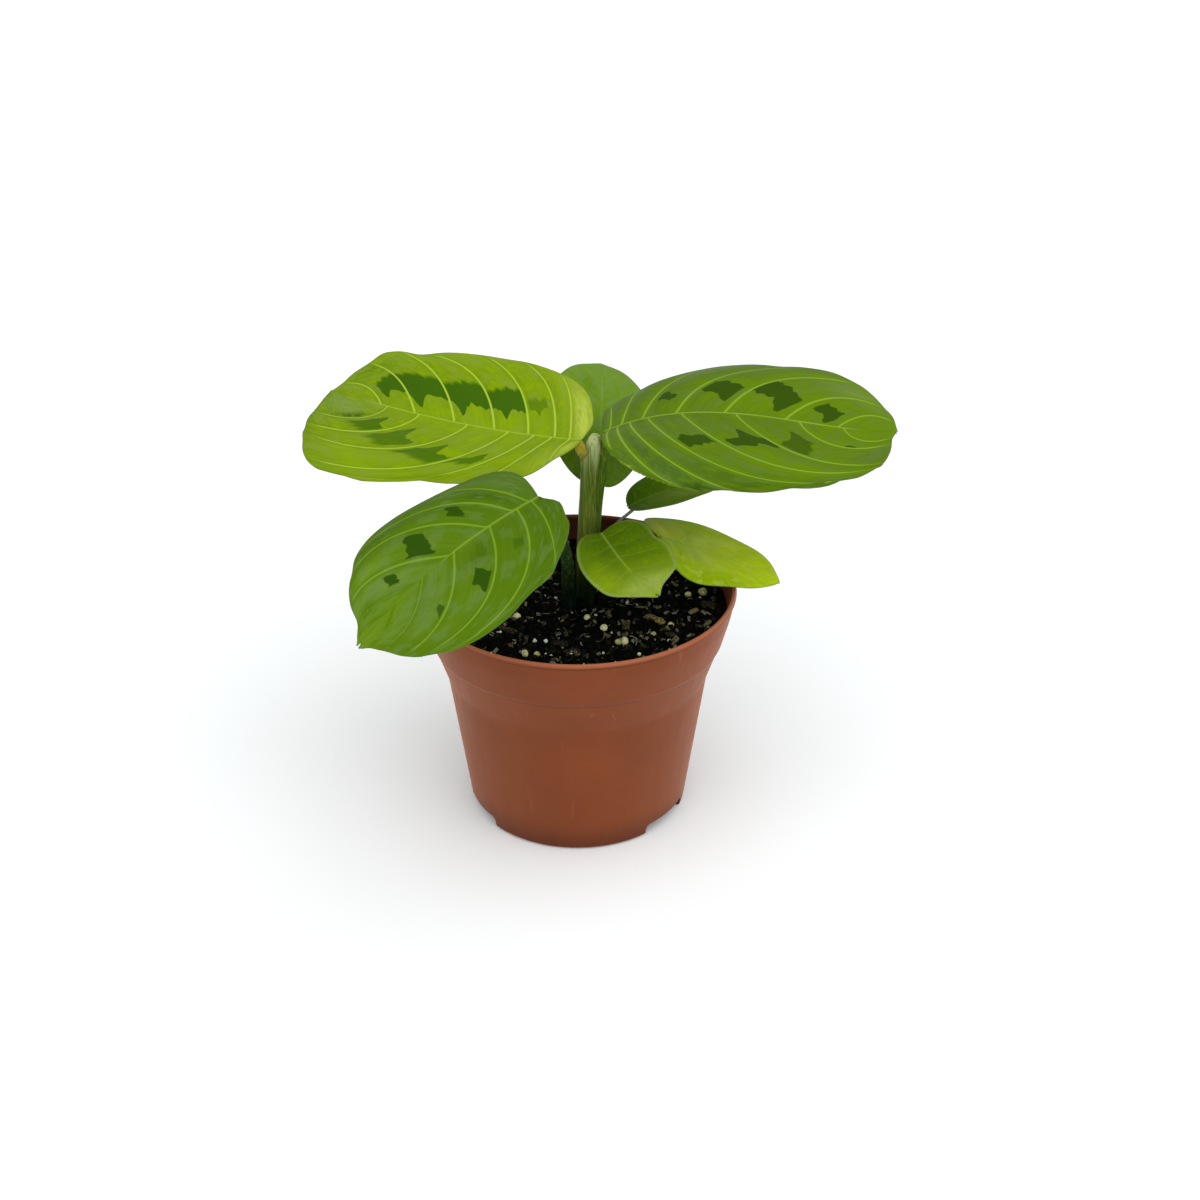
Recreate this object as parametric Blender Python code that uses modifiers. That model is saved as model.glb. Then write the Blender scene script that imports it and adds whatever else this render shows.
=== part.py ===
"""Prayer plant (Maranta) in a 12 cm plastic nursery pot.

Each physical piece is one object: the pot, the soil, the leaf stalks and the seven leaf blades.
Metres, +Z up. The origin is the middle of the pot's foot, on the surface that it stands on.
"""

import math
import random
from collections import namedtuple

import bmesh
import bpy
from mathutils import Matrix, Vector, noise

MM = 0.001
GAP = 0.3 * MM  # clearance between two pieces that touch

# Pot: a thin moulded cup with a wide band under its lip
POT_HEIGHT = 92.0 * MM
RIM_RADIUS = 60.0 * MM
FOOT_RADIUS = 41.8 * MM
WALL = 1.1 * MM
LIP_DEPTH = 1.6 * MM
LIP_REACH = 0.7 * MM
BAND_BOTTOM = 71.0 * MM
BAND_BOTTOM_RADIUS = 55.0 * MM
SHOULDER_BOTTOM = 58.0 * MM
SHOULDER_BOTTOM_RADIUS = 50.0 * MM
FOOT_CHAMFER = 1.0 * MM
POT_SIDES = 54

# Drain pockets: raised from the base, open through the foot of the wall
POCKET_ANGLES = (-35.0, 85.0, 205.0)
POCKET_HEIGHT = 5.0 * MM
POCKET_WIDTH = 24.0 * MM
POCKET_INNER = 24.0 * MM
POCKET_OUTER = 48.0 * MM
DRAIN_RADIUS = 3.5 * MM
DRAIN_FROM_AXIS = 32.0 * MM

# Soil: fills the pot to a little under its lip, with crumbs and larger grains on top
SOIL_LEVEL = 82.0 * MM
SOIL_MOUND = 0.6 * MM
SOIL_CRUMB = 2.2 * MM
SOIL_CRUMB_SIZE = 6.5 * MM
SOIL_RINGS = 11
SOIL_SEED = 41
GRAIN_COUNT = 20
GRAIN_RADII = (1.2 * MM, 2.7 * MM)
GRAIN_SUNK = 0.35
GRAIN_CLEAR_OF_CROWN = 19.0 * MM
CROWN = Vector((3.0, 8.0, 0.0)) * MM

# Stalks run this deep into the soil
ROOTED = 20.0 * MM
STALK_STEP = 4.5 * MM

# Blades: thickness at the margin and at the base of the midrib
BLADE_EDGE = 0.7 * MM
BLADE_RIB = 1.8 * MM
BASE_HALF_WIDTH = 1.2 * MM
PUFF = 0.55 * MM
MIDRIB_STEPS = 80

# One leaf blade. Lengths are in mm, angles in degrees, and the rest are shares of 1.
# base: where the blade meets its stalk. heading: compass direction of the midrib, from +X.
# turn, droop and dip: how far the midrib turns, sinks and curls by its tip. roll, twist: tilt to
# the side. fold, arch: slope of each half at the midrib, and how far it curls down by the margin,
# as (left, right) seen from the base. lobe: how far each half reaches back past the base. egg,
# full, lean, skew: where the outline is widest, how blunt its ends are, which half is wider.
# veins: side veins in each half. wave: height of the waves along the margin. ripple: bays and
# bulges of each half's outline, as (angle round the margin, spread in degrees, depth in mm).
Leaf = namedtuple(
    "Leaf",
    "base heading turn rise droop dip roll twist length width fold arch"
    " lobe egg full lean skew veins wave colour ripple",
    defaults=(((), ()),),
)

LEAVES = {
    "left": Leaf(
        base=(2.0, 0.0, 150.5), heading=160, turn=-27, rise=-5, droop=-10, dip=-12,
        roll=3, twist=23, length=118, width=72, fold=(12, 12), arch=(27, 1),
        lobe=(0.06, 0.04), egg=0.07, full=0.37, lean=-0.05, skew=0.15,
        veins=8, wave=0.6, colour="8FB01C",
        ripple=(
            ((24, 6, -0.8), (40, 8, 1.4), (82, 9, -1.5), (99, 7, 1.2), (130, 10, 0.7),
             (146, 5, -0.7), (159, 7, 0.6)),
            ((77, 12, 1.6), (123, 9, -1.5), (145, 6, 1.2), (173, 6, -1.6)),
        ),
    ),
    "right": Leaf(
        base=(10.0, 0.0, 153.5), heading=5, turn=12, rise=24, droop=110, dip=79,
        roll=7, twist=-54, length=111, width=73, fold=(19, 20), arch=(55, 48),
        lobe=(0.0, 0.06), egg=0.45, full=0.31, lean=0.03, skew=0.09,
        veins=8, wave=0.6, colour="65901F",
        ripple=(
            ((67, 6, -2.0), (82, 6, 2.0), (94, 6, 0.9), (107, 5, -1.1), (138, 8, -0.6),
             (171, 5, 0.7)),
            ((72, 7, -0.9), (90, 6, 0.4), (103, 6, -0.7), (126, 5, -1.0), (153, 7, 0.4),
             (173, 7, -1.5)),
        ),
    ),
    "front_left": Leaf(
        base=(-12.5, -34.8, 144.5), heading=224, turn=13, rise=-6, droop=11, dip=-2,
        roll=19, twist=29, length=88, width=58.3, fold=(24, 33), arch=(34, 101),
        lobe=(0.14, 0.09), egg=0.09, full=0.04, lean=-0.03, skew=0.10,
        veins=8, wave=0.5, colour="5A8A1C",
        ripple=(
            ((13, 5, 0.9), (29, 6, -1.0), (69, 6, 1.0), (84, 7, -0.7), (139, 7, -0.4),
             (157, 6, 0.4)),
            ((8, 8, -0.5), (69, 10, -1.3), (95, 8, -0.3), (132, 6, -0.4), (165, 8, -0.6)),
        ),
    ),
    "front": Leaf(
        base=(9.0, -10.0, 118.0), heading=294, turn=2, rise=-13, droop=-8, dip=11,
        roll=-11, twist=-4, length=45, width=35, fold=(29, 26), arch=(25, 11),
        lobe=(0.07, 0.05), egg=-0.03, full=0.12, lean=-0.01, skew=-0.10,
        veins=6, wave=0.4, colour="759F1A",
    ),
    "front_right": Leaf(
        base=(30.5, 0.0, 112.0), heading=14, turn=-17, rise=-24, droop=5, dip=4,
        roll=6, twist=-19, length=50, width=38, fold=(2, 3), arch=(1, 37),
        lobe=(0.21, 0.16), egg=0.49, full=0.18, lean=-0.09, skew=0.13,
        veins=6, wave=0.3, colour="86A81A",
    ),
    "back": Leaf(
        base=(7.5, 14.0, 127.5), heading=85, turn=7, rise=39, droop=35, dip=-5,
        roll=-8, twist=-1, length=66, width=41, fold=(12, 5), arch=(15, 24),
        lobe=(0.12, 0.17), egg=-0.07, full=-0.23, lean=-0.03, skew=-0.04,
        veins=6, wave=0.3, colour="547F1E",
    ),
    "back_right": Leaf(
        base=(19.5, 22.0, 113.0), heading=16, turn=0, rise=23, droop=30, dip=-2,
        roll=0, twist=0, length=35, width=26, fold=(17, 16), arch=(9, 17),
        lobe=(0.03, 0.04), egg=0.07, full=-0.01, lean=0.0, skew=0.02,
        veins=5, wave=0.2, colour="4E7410",
    ),
}

# One stalk: points in mm from the soil surface up, and its radius in mm at each of them. The
# last point is left out where the stalk ends under its leaf's base.
Stalk = namedtuple("Stalk", "leaf points radii colour")

STALKS = {
    "stalk_front_left": Stalk(
        leaf="front_left",
        points=((-3.0, 0.6, 82), (-3.1, -4.0, 97), (-4.2, -14.0, 114), (-7.6, -27.5, 131)),
        radii=(2.9, 2.6, 2.0, 1.4, 1.5), colour="2F5A22",
    ),
    "stalk_front": Stalk(
        leaf="front",
        points=((5.0, 1.0, 82), (5.6, -1.5, 95), (7.2, -6.0, 107)),
        radii=(1.5, 1.3, 1.1, 1.1), colour="48732A",
    ),
    "stalk_front_right": Stalk(
        leaf="front_right",
        points=((11.0, 5.0, 82), (14.5, 4.0, 92), (22.0, 2.0, 102)),
        radii=(1.5, 1.3, 1.1, 1.1), colour="48732A",
    ),
    "stalk_back": Stalk(
        leaf="back",
        points=((4.5, 17.0, 82), (5.0, 17.0, 98), (6.5, 16.0, 114)),
        radii=(1.6, 1.5, 1.3, 1.3), colour="48732A",
    ),
    "stalk_back_right": Stalk(
        leaf="back_right",
        points=((8.5, 15.0, 82), (10.4, 17.5, 93), (13.6, 20.5, 104)),
        radii=(1.0, 0.8, 0.7, 0.8), colour="6E7A58",
    ),
}

# The main shoot: stalks of the two large leaves in the sheath that wraps both. They grow as one.
MAIN_SHOOT = (
    Stalk(
        leaf=None,
        points=((3.0, 7.0, 82), (4.0, 6.2, 100), (4.9, 5.0, 120), (5.9, 3.6, 138), (6.8, 2.8, 148),
                (7.1, 2.7, 151.5)),
        radii=(3.5, 3.4, 3.4, 3.3, 2.2, 0.9), colour="7C8C4A",
    ),
    Stalk(
        leaf="left",
        points=((1.0, 8.4, 82), (1.9, 7.6, 100), (2.8, 6.6, 120), (3.6, 5.2, 136), (2.8, 2.6, 144)),
        radii=(2.5, 2.4, 2.3, 2.2, 2.0, 1.8), colour="7C8C4A",
    ),
    Stalk(
        leaf="right",
        points=((5.0, 8.6, 82), (6.2, 7.8, 100), (7.2, 6.8, 120), (8.6, 5.6, 138), (9.8, 3.6, 147)),
        radii=(2.3, 2.2, 2.2, 2.2, 2.2, 2.0), colour="7C8C4A",
    ),
)


def clear_scene():
    for obj in list(bpy.data.objects):
        bpy.data.objects.remove(obj, do_unlink=True)


def new_collection(name, hidden=False):
    collection = bpy.data.collections.new(name)
    bpy.context.scene.collection.children.link(collection)
    collection.hide_render = hidden
    return collection


def srgb_to_linear(hex_colour):
    channels = [int(hex_colour[i : i + 2], 16) / 255 for i in (0, 2, 4)]
    return [c / 12.92 if c <= 0.04045 else ((c + 0.055) / 1.055) ** 2.4 for c in channels]


def material(name, hex_colour, roughness):
    made = bpy.data.materials.new(name)
    made.use_nodes = True
    shader = made.node_tree.nodes["Principled BSDF"]
    shader.inputs["Base Color"].default_value = (*srgb_to_linear(hex_colour), 1.0)
    shader.inputs["Roughness"].default_value = roughness
    shader.inputs["Metallic"].default_value = 0.0
    return made


def add_object(name, mesh, collection, surface=None):
    obj = bpy.data.objects.new(name, mesh)
    collection.objects.link(obj)
    if surface:
        mesh.materials.clear()
        mesh.materials.append(surface)
    return obj


def mesh_from(name, shape):
    """A mesh data block from a bmesh, its faces turned outwards."""
    bmesh.ops.recalc_face_normals(shape, faces=shape.faces)
    mesh = bpy.data.meshes.new(name)
    shape.to_mesh(mesh)
    shape.free()
    return mesh


def as_cutter(obj):
    obj.hide_render = True
    obj.display_type = "WIRE"
    return obj


def boolean(obj, other, operation):
    modifier = obj.modifiers.new(f"{operation.title()} {other.name}", "BOOLEAN")
    modifier.operation = operation
    modifier.object = other
    modifier.solver = "EXACT"


def smooth_round(mesh, angle=35.0):
    mesh.shade_smooth()
    mesh.set_sharp_from_angle(angle=math.radians(angle))


def turned(name, profile, collection, sides):
    """A closed solid of revolution from (radius, height) points, top to bottom down its outside."""
    shape = bmesh.new()
    points = [shape.verts.new((radius, 0.0, height)) for radius, height in profile]
    for first, second in zip(points, points[1:]):
        shape.edges.new((first, second))
    mesh = bpy.data.meshes.new(name)
    shape.to_mesh(mesh)
    shape.free()
    obj = add_object(name, mesh, collection)
    screw = obj.modifiers.new("Turn", "SCREW")
    screw.steps = sides
    screw.render_steps = sides
    screw.use_merge_vertices = True
    screw.merge_threshold = 0.00005
    screw.use_smooth_shade = True
    return obj


def applied(obj):
    """The object's evaluated mesh, with no modifiers left on it."""
    bpy.context.view_layer.update()
    graph = bpy.context.evaluated_depsgraph_get()
    mesh = bpy.data.meshes.new_from_object(obj.evaluated_get(graph))
    obj.modifiers.clear()
    obj.data = mesh
    return obj


def remove(objects):
    for obj in objects:
        bpy.data.objects.remove(obj, do_unlink=True)


def outer_profile():
    """The pot's outside, from the middle of its top to the middle of its base."""
    under_lip = POT_HEIGHT - LIP_DEPTH
    band_top = RIM_RADIUS - LIP_REACH
    crease = 1.2 * MM
    return [
        (0.0, POT_HEIGHT),
        (RIM_RADIUS - 0.5 * MM, POT_HEIGHT),
        (RIM_RADIUS, POT_HEIGHT - 0.5 * MM),
        (RIM_RADIUS, under_lip + 0.4 * MM),
        (band_top, under_lip),
        (band_top - 0.9 * MM, POT_HEIGHT - 8.0 * MM),
        (BAND_BOTTOM_RADIUS, BAND_BOTTOM),
        (BAND_BOTTOM_RADIUS - 0.8 * MM, BAND_BOTTOM - crease),
        (SHOULDER_BOTTOM_RADIUS, SHOULDER_BOTTOM),
        (SHOULDER_BOTTOM_RADIUS - 0.4 * MM, SHOULDER_BOTTOM - 2.0 * MM),
        (FOOT_RADIUS + 0.1 * MM, FOOT_CHAMFER),
        (FOOT_RADIUS - FOOT_CHAMFER, 0.0),
        (0.0, 0.0),
    ]


def inner_radius(height, inset):
    """The pot's inner radius at a height, less an inset."""
    corners = [
        (FOOT_RADIUS, 0.0),
        (SHOULDER_BOTTOM_RADIUS - 0.4 * MM, SHOULDER_BOTTOM - 2.0 * MM),
        (BAND_BOTTOM_RADIUS - 0.8 * MM, BAND_BOTTOM - 1.2 * MM),
        (RIM_RADIUS - LIP_REACH - 0.9 * MM, POT_HEIGHT - 8.0 * MM),
        (RIM_RADIUS - 0.2 * MM, POT_HEIGHT + 0.1 * MM),
    ]
    for (low_radius, low), (high_radius, high) in zip(corners, corners[1:]):
        if height <= high:
            share = (height - low) / (high - low)
            return low_radius + share * (high_radius - low_radius) - WALL - inset
    return corners[-1][0] - WALL - inset


def inner_profile(top, inset):
    """The inside of the pot up to a height, as a solid's (radius, height) points from the top."""
    floor = WALL + inset
    heights = (
        top,
        POT_HEIGHT - 8.0 * MM,
        BAND_BOTTOM - 1.2 * MM,
        SHOULDER_BOTTOM - 2.0 * MM,
        floor + 1.0 * MM,
    )
    sides = [(inner_radius(z, inset), z) for z in heights if z <= top]
    return [(0.0, top), *sides, (inner_radius(floor, inset) - 1.0 * MM, floor), (0.0, floor)]


def pocket_block(name, angle, grown, collection):
    """The hollow of one drain pocket, or that hollow grown on its inner sides."""
    length = POCKET_OUTER - POCKET_INNER + grown
    height = POCKET_HEIGHT + grown + 2.0 * MM
    shape = bmesh.new()
    bmesh.ops.create_cube(shape, size=1.0)
    place = (
        Matrix.Rotation(math.radians(angle), 4, "Z")
        @ Matrix.Translation(
            (POCKET_OUTER - length / 2, 0.0, POCKET_HEIGHT + grown - height / 2)
        )
        @ Matrix.Diagonal((length, POCKET_WIDTH + 2 * grown, height, 1.0))
    )
    bmesh.ops.transform(shape, matrix=place, verts=shape.verts)
    return as_cutter(add_object(name, mesh_from(name, shape), collection))


def drain_cutter(name, angle, collection):
    shape = bmesh.new()
    bmesh.ops.create_cone(
        shape, cap_ends=True, segments=16, radius1=DRAIN_RADIUS, radius2=DRAIN_RADIUS, depth=8.0 * MM
    )
    place = Matrix.Rotation(math.radians(angle), 4, "Z") @ Matrix.Translation(
        (DRAIN_FROM_AXIS, 0.0, POCKET_HEIGHT)
    )
    bmesh.ops.transform(shape, matrix=place, verts=shape.verts)
    return as_cutter(add_object(name, mesh_from(name, shape), collection))


def make_pot(parts, cutters):
    pot = turned("pot", outer_profile(), parts, POT_SIDES)
    applied(pot)
    cavity = turned("pot_cavity", inner_profile(POT_HEIGHT + 2.0 * MM, 0.0), cutters, POT_SIDES)
    applied(cavity)
    used = [cavity]
    for index, angle in enumerate(POCKET_ANGLES):
        roof = pocket_block(f"pocket_roof_{index}", angle, WALL, cutters)
        boolean(cavity, roof, "DIFFERENCE")
        used.append(roof)
    applied(cavity)
    boolean(pot, cavity, "DIFFERENCE")
    for index, angle in enumerate(POCKET_ANGLES):
        hollow = pocket_block(f"pocket_{index}", angle, 0.0, cutters)
        drain = drain_cutter(f"drain_{index}", angle, cutters)
        boolean(pot, hollow, "DIFFERENCE")
        boolean(pot, drain, "DIFFERENCE")
        used += [hollow, drain]
    applied(pot)
    remove(used)
    smooth_round(pot.data)
    pot.data.materials.append(material("Terracotta polypropylene", "98563A", 0.42))
    return pot


def soil_height(x, y):
    """The crumbly top of the soil at a place."""
    reach = min(1.0, math.hypot(x, y) / (RIM_RADIUS - 5.0 * MM))
    crumbs = noise.noise(Vector((x, y, 0.3 * SOIL_CRUMB_SIZE)) / SOIL_CRUMB_SIZE)
    lumps = noise.noise(Vector((x, y, 9.0 * SOIL_CRUMB_SIZE)) / (3.2 * SOIL_CRUMB_SIZE))
    return SOIL_LEVEL + SOIL_MOUND * (1.0 - reach**2) + SOIL_CRUMB * (0.7 * crumbs + 0.8 * lumps)


def soil_top_ring(shape, edge_ring, rings):
    """Rings of the soil's top inside its edge ring, each with about as many points as its girth asks."""
    count = len(edge_ring)
    outer = edge_ring
    for ring in range(1, rings):
        share = 1.0 - ring / rings
        inner = []
        for vert in edge_ring:
            x, y = vert.co.x * share, vert.co.y * share
            inner.append(shape.verts.new((x, y, soil_height(x, y))))
        for i in range(count):
            j = (i + 1) % count
            shape.faces.new((outer[i], outer[j], inner[j], inner[i]))
        outer = inner
    middle = shape.verts.new((0.0, 0.0, soil_height(0.0, 0.0)))
    for i in range(count):
        shape.faces.new((outer[i], outer[(i + 1) % count], middle))


def make_soil_body(parts):
    """The soil as a turned solid with its flat top replaced by a crumbly one."""
    body = applied(turned("soil", inner_profile(SOIL_LEVEL, GAP), parts, POT_SIDES))
    shape = bmesh.new()
    shape.from_mesh(body.data)
    top = [f for f in shape.faces if all(v.co.z > SOIL_LEVEL - 0.01 * MM for v in f.verts)]
    edge = {v for f in top for v in f.verts if v.co.xy.length > 10.0 * MM}
    bmesh.ops.delete(shape, geom=top, context="FACES_ONLY")
    bmesh.ops.delete(shape, geom=[v for v in shape.verts if not v.link_faces], context="VERTS")
    ring = sorted(edge, key=lambda v: math.atan2(v.co.y, v.co.x))
    soil_top_ring(shape, ring, SOIL_RINGS)
    bmesh.ops.triangulate(shape, faces=shape.faces)
    body.data = mesh_from("soil", shape)
    return body


def grain_places(rng):
    """Seeded places for the larger grains, clear of the crown, the wall and each other."""
    places = []
    while len(places) < GRAIN_COUNT:
        angle = rng.uniform(0.0, 2 * math.pi)
        far = (RIM_RADIUS - 10.0 * MM) * math.sqrt(rng.random())
        radius = rng.uniform(*GRAIN_RADII)
        spot = Vector((far * math.cos(angle), far * math.sin(angle), 0.0))
        if (spot - CROWN).length < GRAIN_CLEAR_OF_CROWN:
            continue
        if any((spot - other).length < 2.6 * (radius + size) for other, size in places):
            continue
        places.append((spot, radius))
    return places


def add_grains(soil, cutters):
    """Larger grains, fused with the soil at its surface."""
    rng = random.Random(SOIL_SEED)
    shape = bmesh.new()
    for spot, radius in grain_places(rng):
        squash = Matrix.Diagonal((1.0, rng.uniform(0.7, 1.0), rng.uniform(0.6, 0.85), 1.0))
        turn = Matrix.Rotation(rng.uniform(0.0, math.pi), 4, "Z")
        height = soil_height(spot.x, spot.y) + radius * (0.6 - GRAIN_SUNK)
        place = Matrix.Translation((spot.x, spot.y, height)) @ turn @ squash
        bmesh.ops.create_icosphere(shape, subdivisions=1, radius=radius, matrix=place)
    grains = as_cutter(add_object("grains", mesh_from("grains", shape), cutters))
    boolean(soil, grains, "UNION")
    applied(soil)
    remove([grains])


def make_soil(parts, cutters, hole_cutters):
    soil = make_soil_body(parts)
    for index, angle in enumerate(POCKET_ANGLES):
        roof = pocket_block(f"soil_pocket_{index}", angle, WALL + GAP, cutters)
        boolean(soil, roof, "DIFFERENCE")
        applied(soil)
        remove([roof])
    add_grains(soil, cutters)
    for cutter in hole_cutters:
        boolean(soil, cutter, "DIFFERENCE")
        applied(soil)
    remove(hole_cutters)
    smooth_round(soil.data, 50.0)
    soil.data.materials.append(material("Peat soil", "17120E", 0.95))
    return soil


def smooth_route(points, step):
    """Points at about the given step along a smooth curve through the route's own points."""
    ends = [2 * points[0] - points[1], *points, 2 * points[-1] - points[-2]]
    route = []
    for before, here, there, after in zip(ends, ends[1:], ends[2:], ends[3:]):
        count = max(1, round((there - here).length / step))
        for index in range(count):
            t = index / count
            route.append(
                0.5
                * (
                    2 * here
                    + (there - before) * t
                    + (2 * before - 5 * here + 4 * there - after) * t**2
                    + (3 * here - before - 3 * there + after) * t**3
                )
            )
    route.append(points[-1])
    return route


def tube(name, points, radii, grown, collection):
    """A round stalk as a closed mesh: a curve with a bevel, thicker by grown, made a mesh."""
    route = smooth_route(points, STALK_STEP)
    widths = radii_at(points, radii, route)
    curve = bpy.data.curves.new(name, "CURVE")
    curve.dimensions = "3D"
    curve.bevel_depth = 1.0
    curve.bevel_resolution = 2
    curve.use_fill_caps = True
    spline = curve.splines.new("POLY")
    spline.points.add(len(route) - 1)
    for target, point, width in zip(spline.points, route, widths):
        target.co = (*point, 1.0)
        target.radius = width + grown
    source = add_object(f"{name}_curve", curve, collection)
    bpy.context.view_layer.update()
    graph = bpy.context.evaluated_depsgraph_get()
    mesh = bpy.data.meshes.new_from_object(source.evaluated_get(graph))
    remove([source])
    shape = bmesh.new()
    shape.from_mesh(mesh)
    bmesh.ops.remove_doubles(shape, verts=shape.verts, dist=0.00001)
    return add_object(name, mesh_from(name, shape), collection)


def radii_at(points, radii, route):
    """The radius at each point of the route, between those given at the route's own points."""
    own = [min(range(len(route)), key=lambda i: (route[i] - p).length) for p in points]
    found = []
    for index in range(len(route)):
        after = next((k for k, at in enumerate(own) if at >= index), len(own) - 1)
        before = max(0, after - 1)
        span = own[after] - own[before]
        share = (index - own[before]) / span if span else 0.0
        found.append(radii[before] + share * (radii[after] - radii[before]))
    return found


def stalk_points(stalk):
    """A stalk's points in metres, from its buried end to just under its leaf's base."""
    points = [Vector(p) * MM for p in stalk.points]
    radii = [r * MM for r in stalk.radii]
    down = (points[0] - points[1]).normalized() * 0.35 + Vector((0.0, 0.0, -1.0))
    points.insert(0, points[0] + down.normalized() * ROOTED)
    radii.insert(0, radii[0])
    if stalk.leaf:
        leaf = LEAVES[stalk.leaf]
        where = midrib_frames(leaf)
        seat = frame_at(leaf, where, 1.4 * MM)
        below = BLADE_RIB + GAP + 0.1 * MM
        points.append(seat.centre - seat.up * (below + 2.5 * MM) - seat.ahead * 0.6 * MM)
        points.append(seat.centre - seat.up * below)
        radii.insert(-1, radii[-1])
    return points, radii


def stalk_solid(name, stalk, grown, collection):
    points, radii = stalk_points(stalk)
    return tube(name, points, radii, grown, collection)


def make_stalks(parts, cutters):
    """Each stalk, the main shoot, and the cutters for their holes in the soil."""
    holes = []
    for name, stalk in STALKS.items():
        made = stalk_solid(name, stalk, 0.0, parts)
        smooth_round(made.data)
        made.data.materials.append(material(f"Leaf stalk {stalk.leaf}", stalk.colour, 0.45))
        holes.append(as_cutter(stalk_solid(f"hole_{name}", stalk, GAP, cutters)))
    shoot = stalk_solid("main_shoot", MAIN_SHOOT[0], 0.0, parts)
    for index, stalk in enumerate(MAIN_SHOOT):
        holes.append(as_cutter(stalk_solid(f"hole_shoot_{index}", stalk, GAP, cutters)))
        if index:
            branch = as_cutter(stalk_solid(f"shoot_{index}", stalk, 0.0, cutters))
            boolean(shoot, branch, "UNION")
            applied(shoot)
            remove([branch])
    smooth_round(shoot.data)
    shoot.data.materials.append(material("Leaf sheath", MAIN_SHOOT[0].colour, 0.45))
    return holes


Frame = namedtuple("Frame", "centre ahead side up")


def midrib_frames(leaf):
    """Frames along the midrib: where it is, ahead, to the right and up, tilted with the blade."""
    length = leaf.length * MM
    step = 1.4 / MIDRIB_STEPS
    frames = []
    centre = Vector((0.0, 0.0, 0.0))
    for index in range(MIDRIB_STEPS + 1):
        s = -0.2 + index * step
        pitch = math.radians(leaf.rise - leaf.droop * s + leaf.dip * s * s)
        compass = math.radians(leaf.heading + leaf.turn * s)
        tilt = math.radians(leaf.roll + leaf.twist * s)
        level = Vector((math.cos(compass), math.sin(compass), 0.0))
        ahead = level * math.cos(pitch) + Vector((0.0, 0.0, math.sin(pitch)))
        right = Vector((level.y, -level.x, 0.0))
        over = right.cross(ahead)
        if frames:
            centre = centre + (frames[-1].ahead + ahead) * (0.5 * step * length)
        side = right * math.cos(tilt) + over * math.sin(tilt)
        up = over * math.cos(tilt) - right * math.sin(tilt)
        frames.append(Frame(centre, ahead, side, up))
    start = blend(frames, 0.2 / step).centre
    base = Vector(leaf.base) * MM
    return [frame._replace(centre=frame.centre - start + base) for frame in frames]


def blend(frames, place):
    low = min(max(int(place), 0), len(frames) - 2)
    share = place - low
    return Frame(*(a.lerp(b, share) for a, b in zip(frames[low], frames[low + 1])))


def frame_at(leaf, frames, x):
    return blend(frames, (x / (leaf.length * MM) + 0.2) / 1.4 * MIDRIB_STEPS)


def margin_point(leaf, phi, side):
    """The flat blade's outline: phi runs from 0 at the base to pi at the tip."""
    length, half = leaf.length * MM, leaf.width * MM / 2
    lobe = leaf.lobe[1 if side > 0 else 0] * math.sin(phi) * ((1 + math.cos(phi)) / 2) ** 2
    nib = 0.02 * math.exp(-(((math.pi - phi) / 0.18) ** 2))
    x = length * ((1 - math.cos(phi)) / 2 - lobe + nib)
    egg = leaf.egg + side * leaf.skew
    swell = 1 + egg * math.cos(phi) + leaf.full * math.cos(phi) ** 2
    y = half * math.sin(phi) * swell * (1 + side * leaf.lean)
    outward = Vector((-2 * half * math.cos(phi), length * math.sin(phi))).normalized()
    for angle, spread, depth in leaf.ripple[1 if side > 0 else 0]:
        reach = depth * MM * math.exp(-(((math.degrees(phi) - angle) / spread) ** 2))
        x += reach * outward.x
        y += reach * outward.y
    return x, y


def vein_point(leaf, along, across):
    """A flat blade point: along numbers the side veins 0 to 1, across runs from -1 to 1."""
    side = 1 if across > 0 else -1
    share = abs(across)
    phi = math.pi * along**0.85
    start = leaf.length * MM * (along**1.6 * 1.02)
    margin_x, margin_y = margin_point(leaf, phi, side)
    margin_y = max(margin_y, (BASE_HALF_WIDTH * (1 - along) + 0.4 * MM * along))
    bend_x = start + 0.45 * margin_y * (1 - along) + 0.3 * (margin_x - start) * along
    bend_y = 0.6 * margin_y
    keep = (1 - share) ** 2
    turn = 2 * share * (1 - share)
    x = keep * start + turn * bend_x + share**2 * margin_x
    return x, side * (turn * bend_y + share**2 * margin_y)


def bent_point(leaf, frames, x, y, lift):
    """A flat blade point carried onto the curved, folded blade."""
    half = leaf.width * MM / 2
    frame = frame_at(leaf, frames, x)
    index = 1 if y > 0 else 0
    fold = math.radians(leaf.fold[index])
    curl = math.radians(leaf.arch[index]) / half
    d = abs(y)
    out = (math.sin(fold) - math.sin(fold - curl * d)) / curl
    rise = (math.cos(fold - curl * d) - math.cos(fold)) / curl
    return frame.centre + frame.side * math.copysign(out, y) + frame.up * (rise + lift)


def surface_lift(leaf, along, across):
    """Puffed strips between the side veins, and waves along the margin."""
    share = abs(across)
    between = math.sin(math.pi * along * leaf.veins) ** 2
    puff = PUFF * between * math.sin(math.pi * min(1.0, share * 1.05)) * leaf.width / 69
    side = 0.7 if across > 0 else 0.0
    wave = leaf.wave * MM * share**3 * math.sin(2 * math.pi * (along * leaf.veins / 2 + side))
    return puff + wave * math.sin(math.pi * along)


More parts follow.
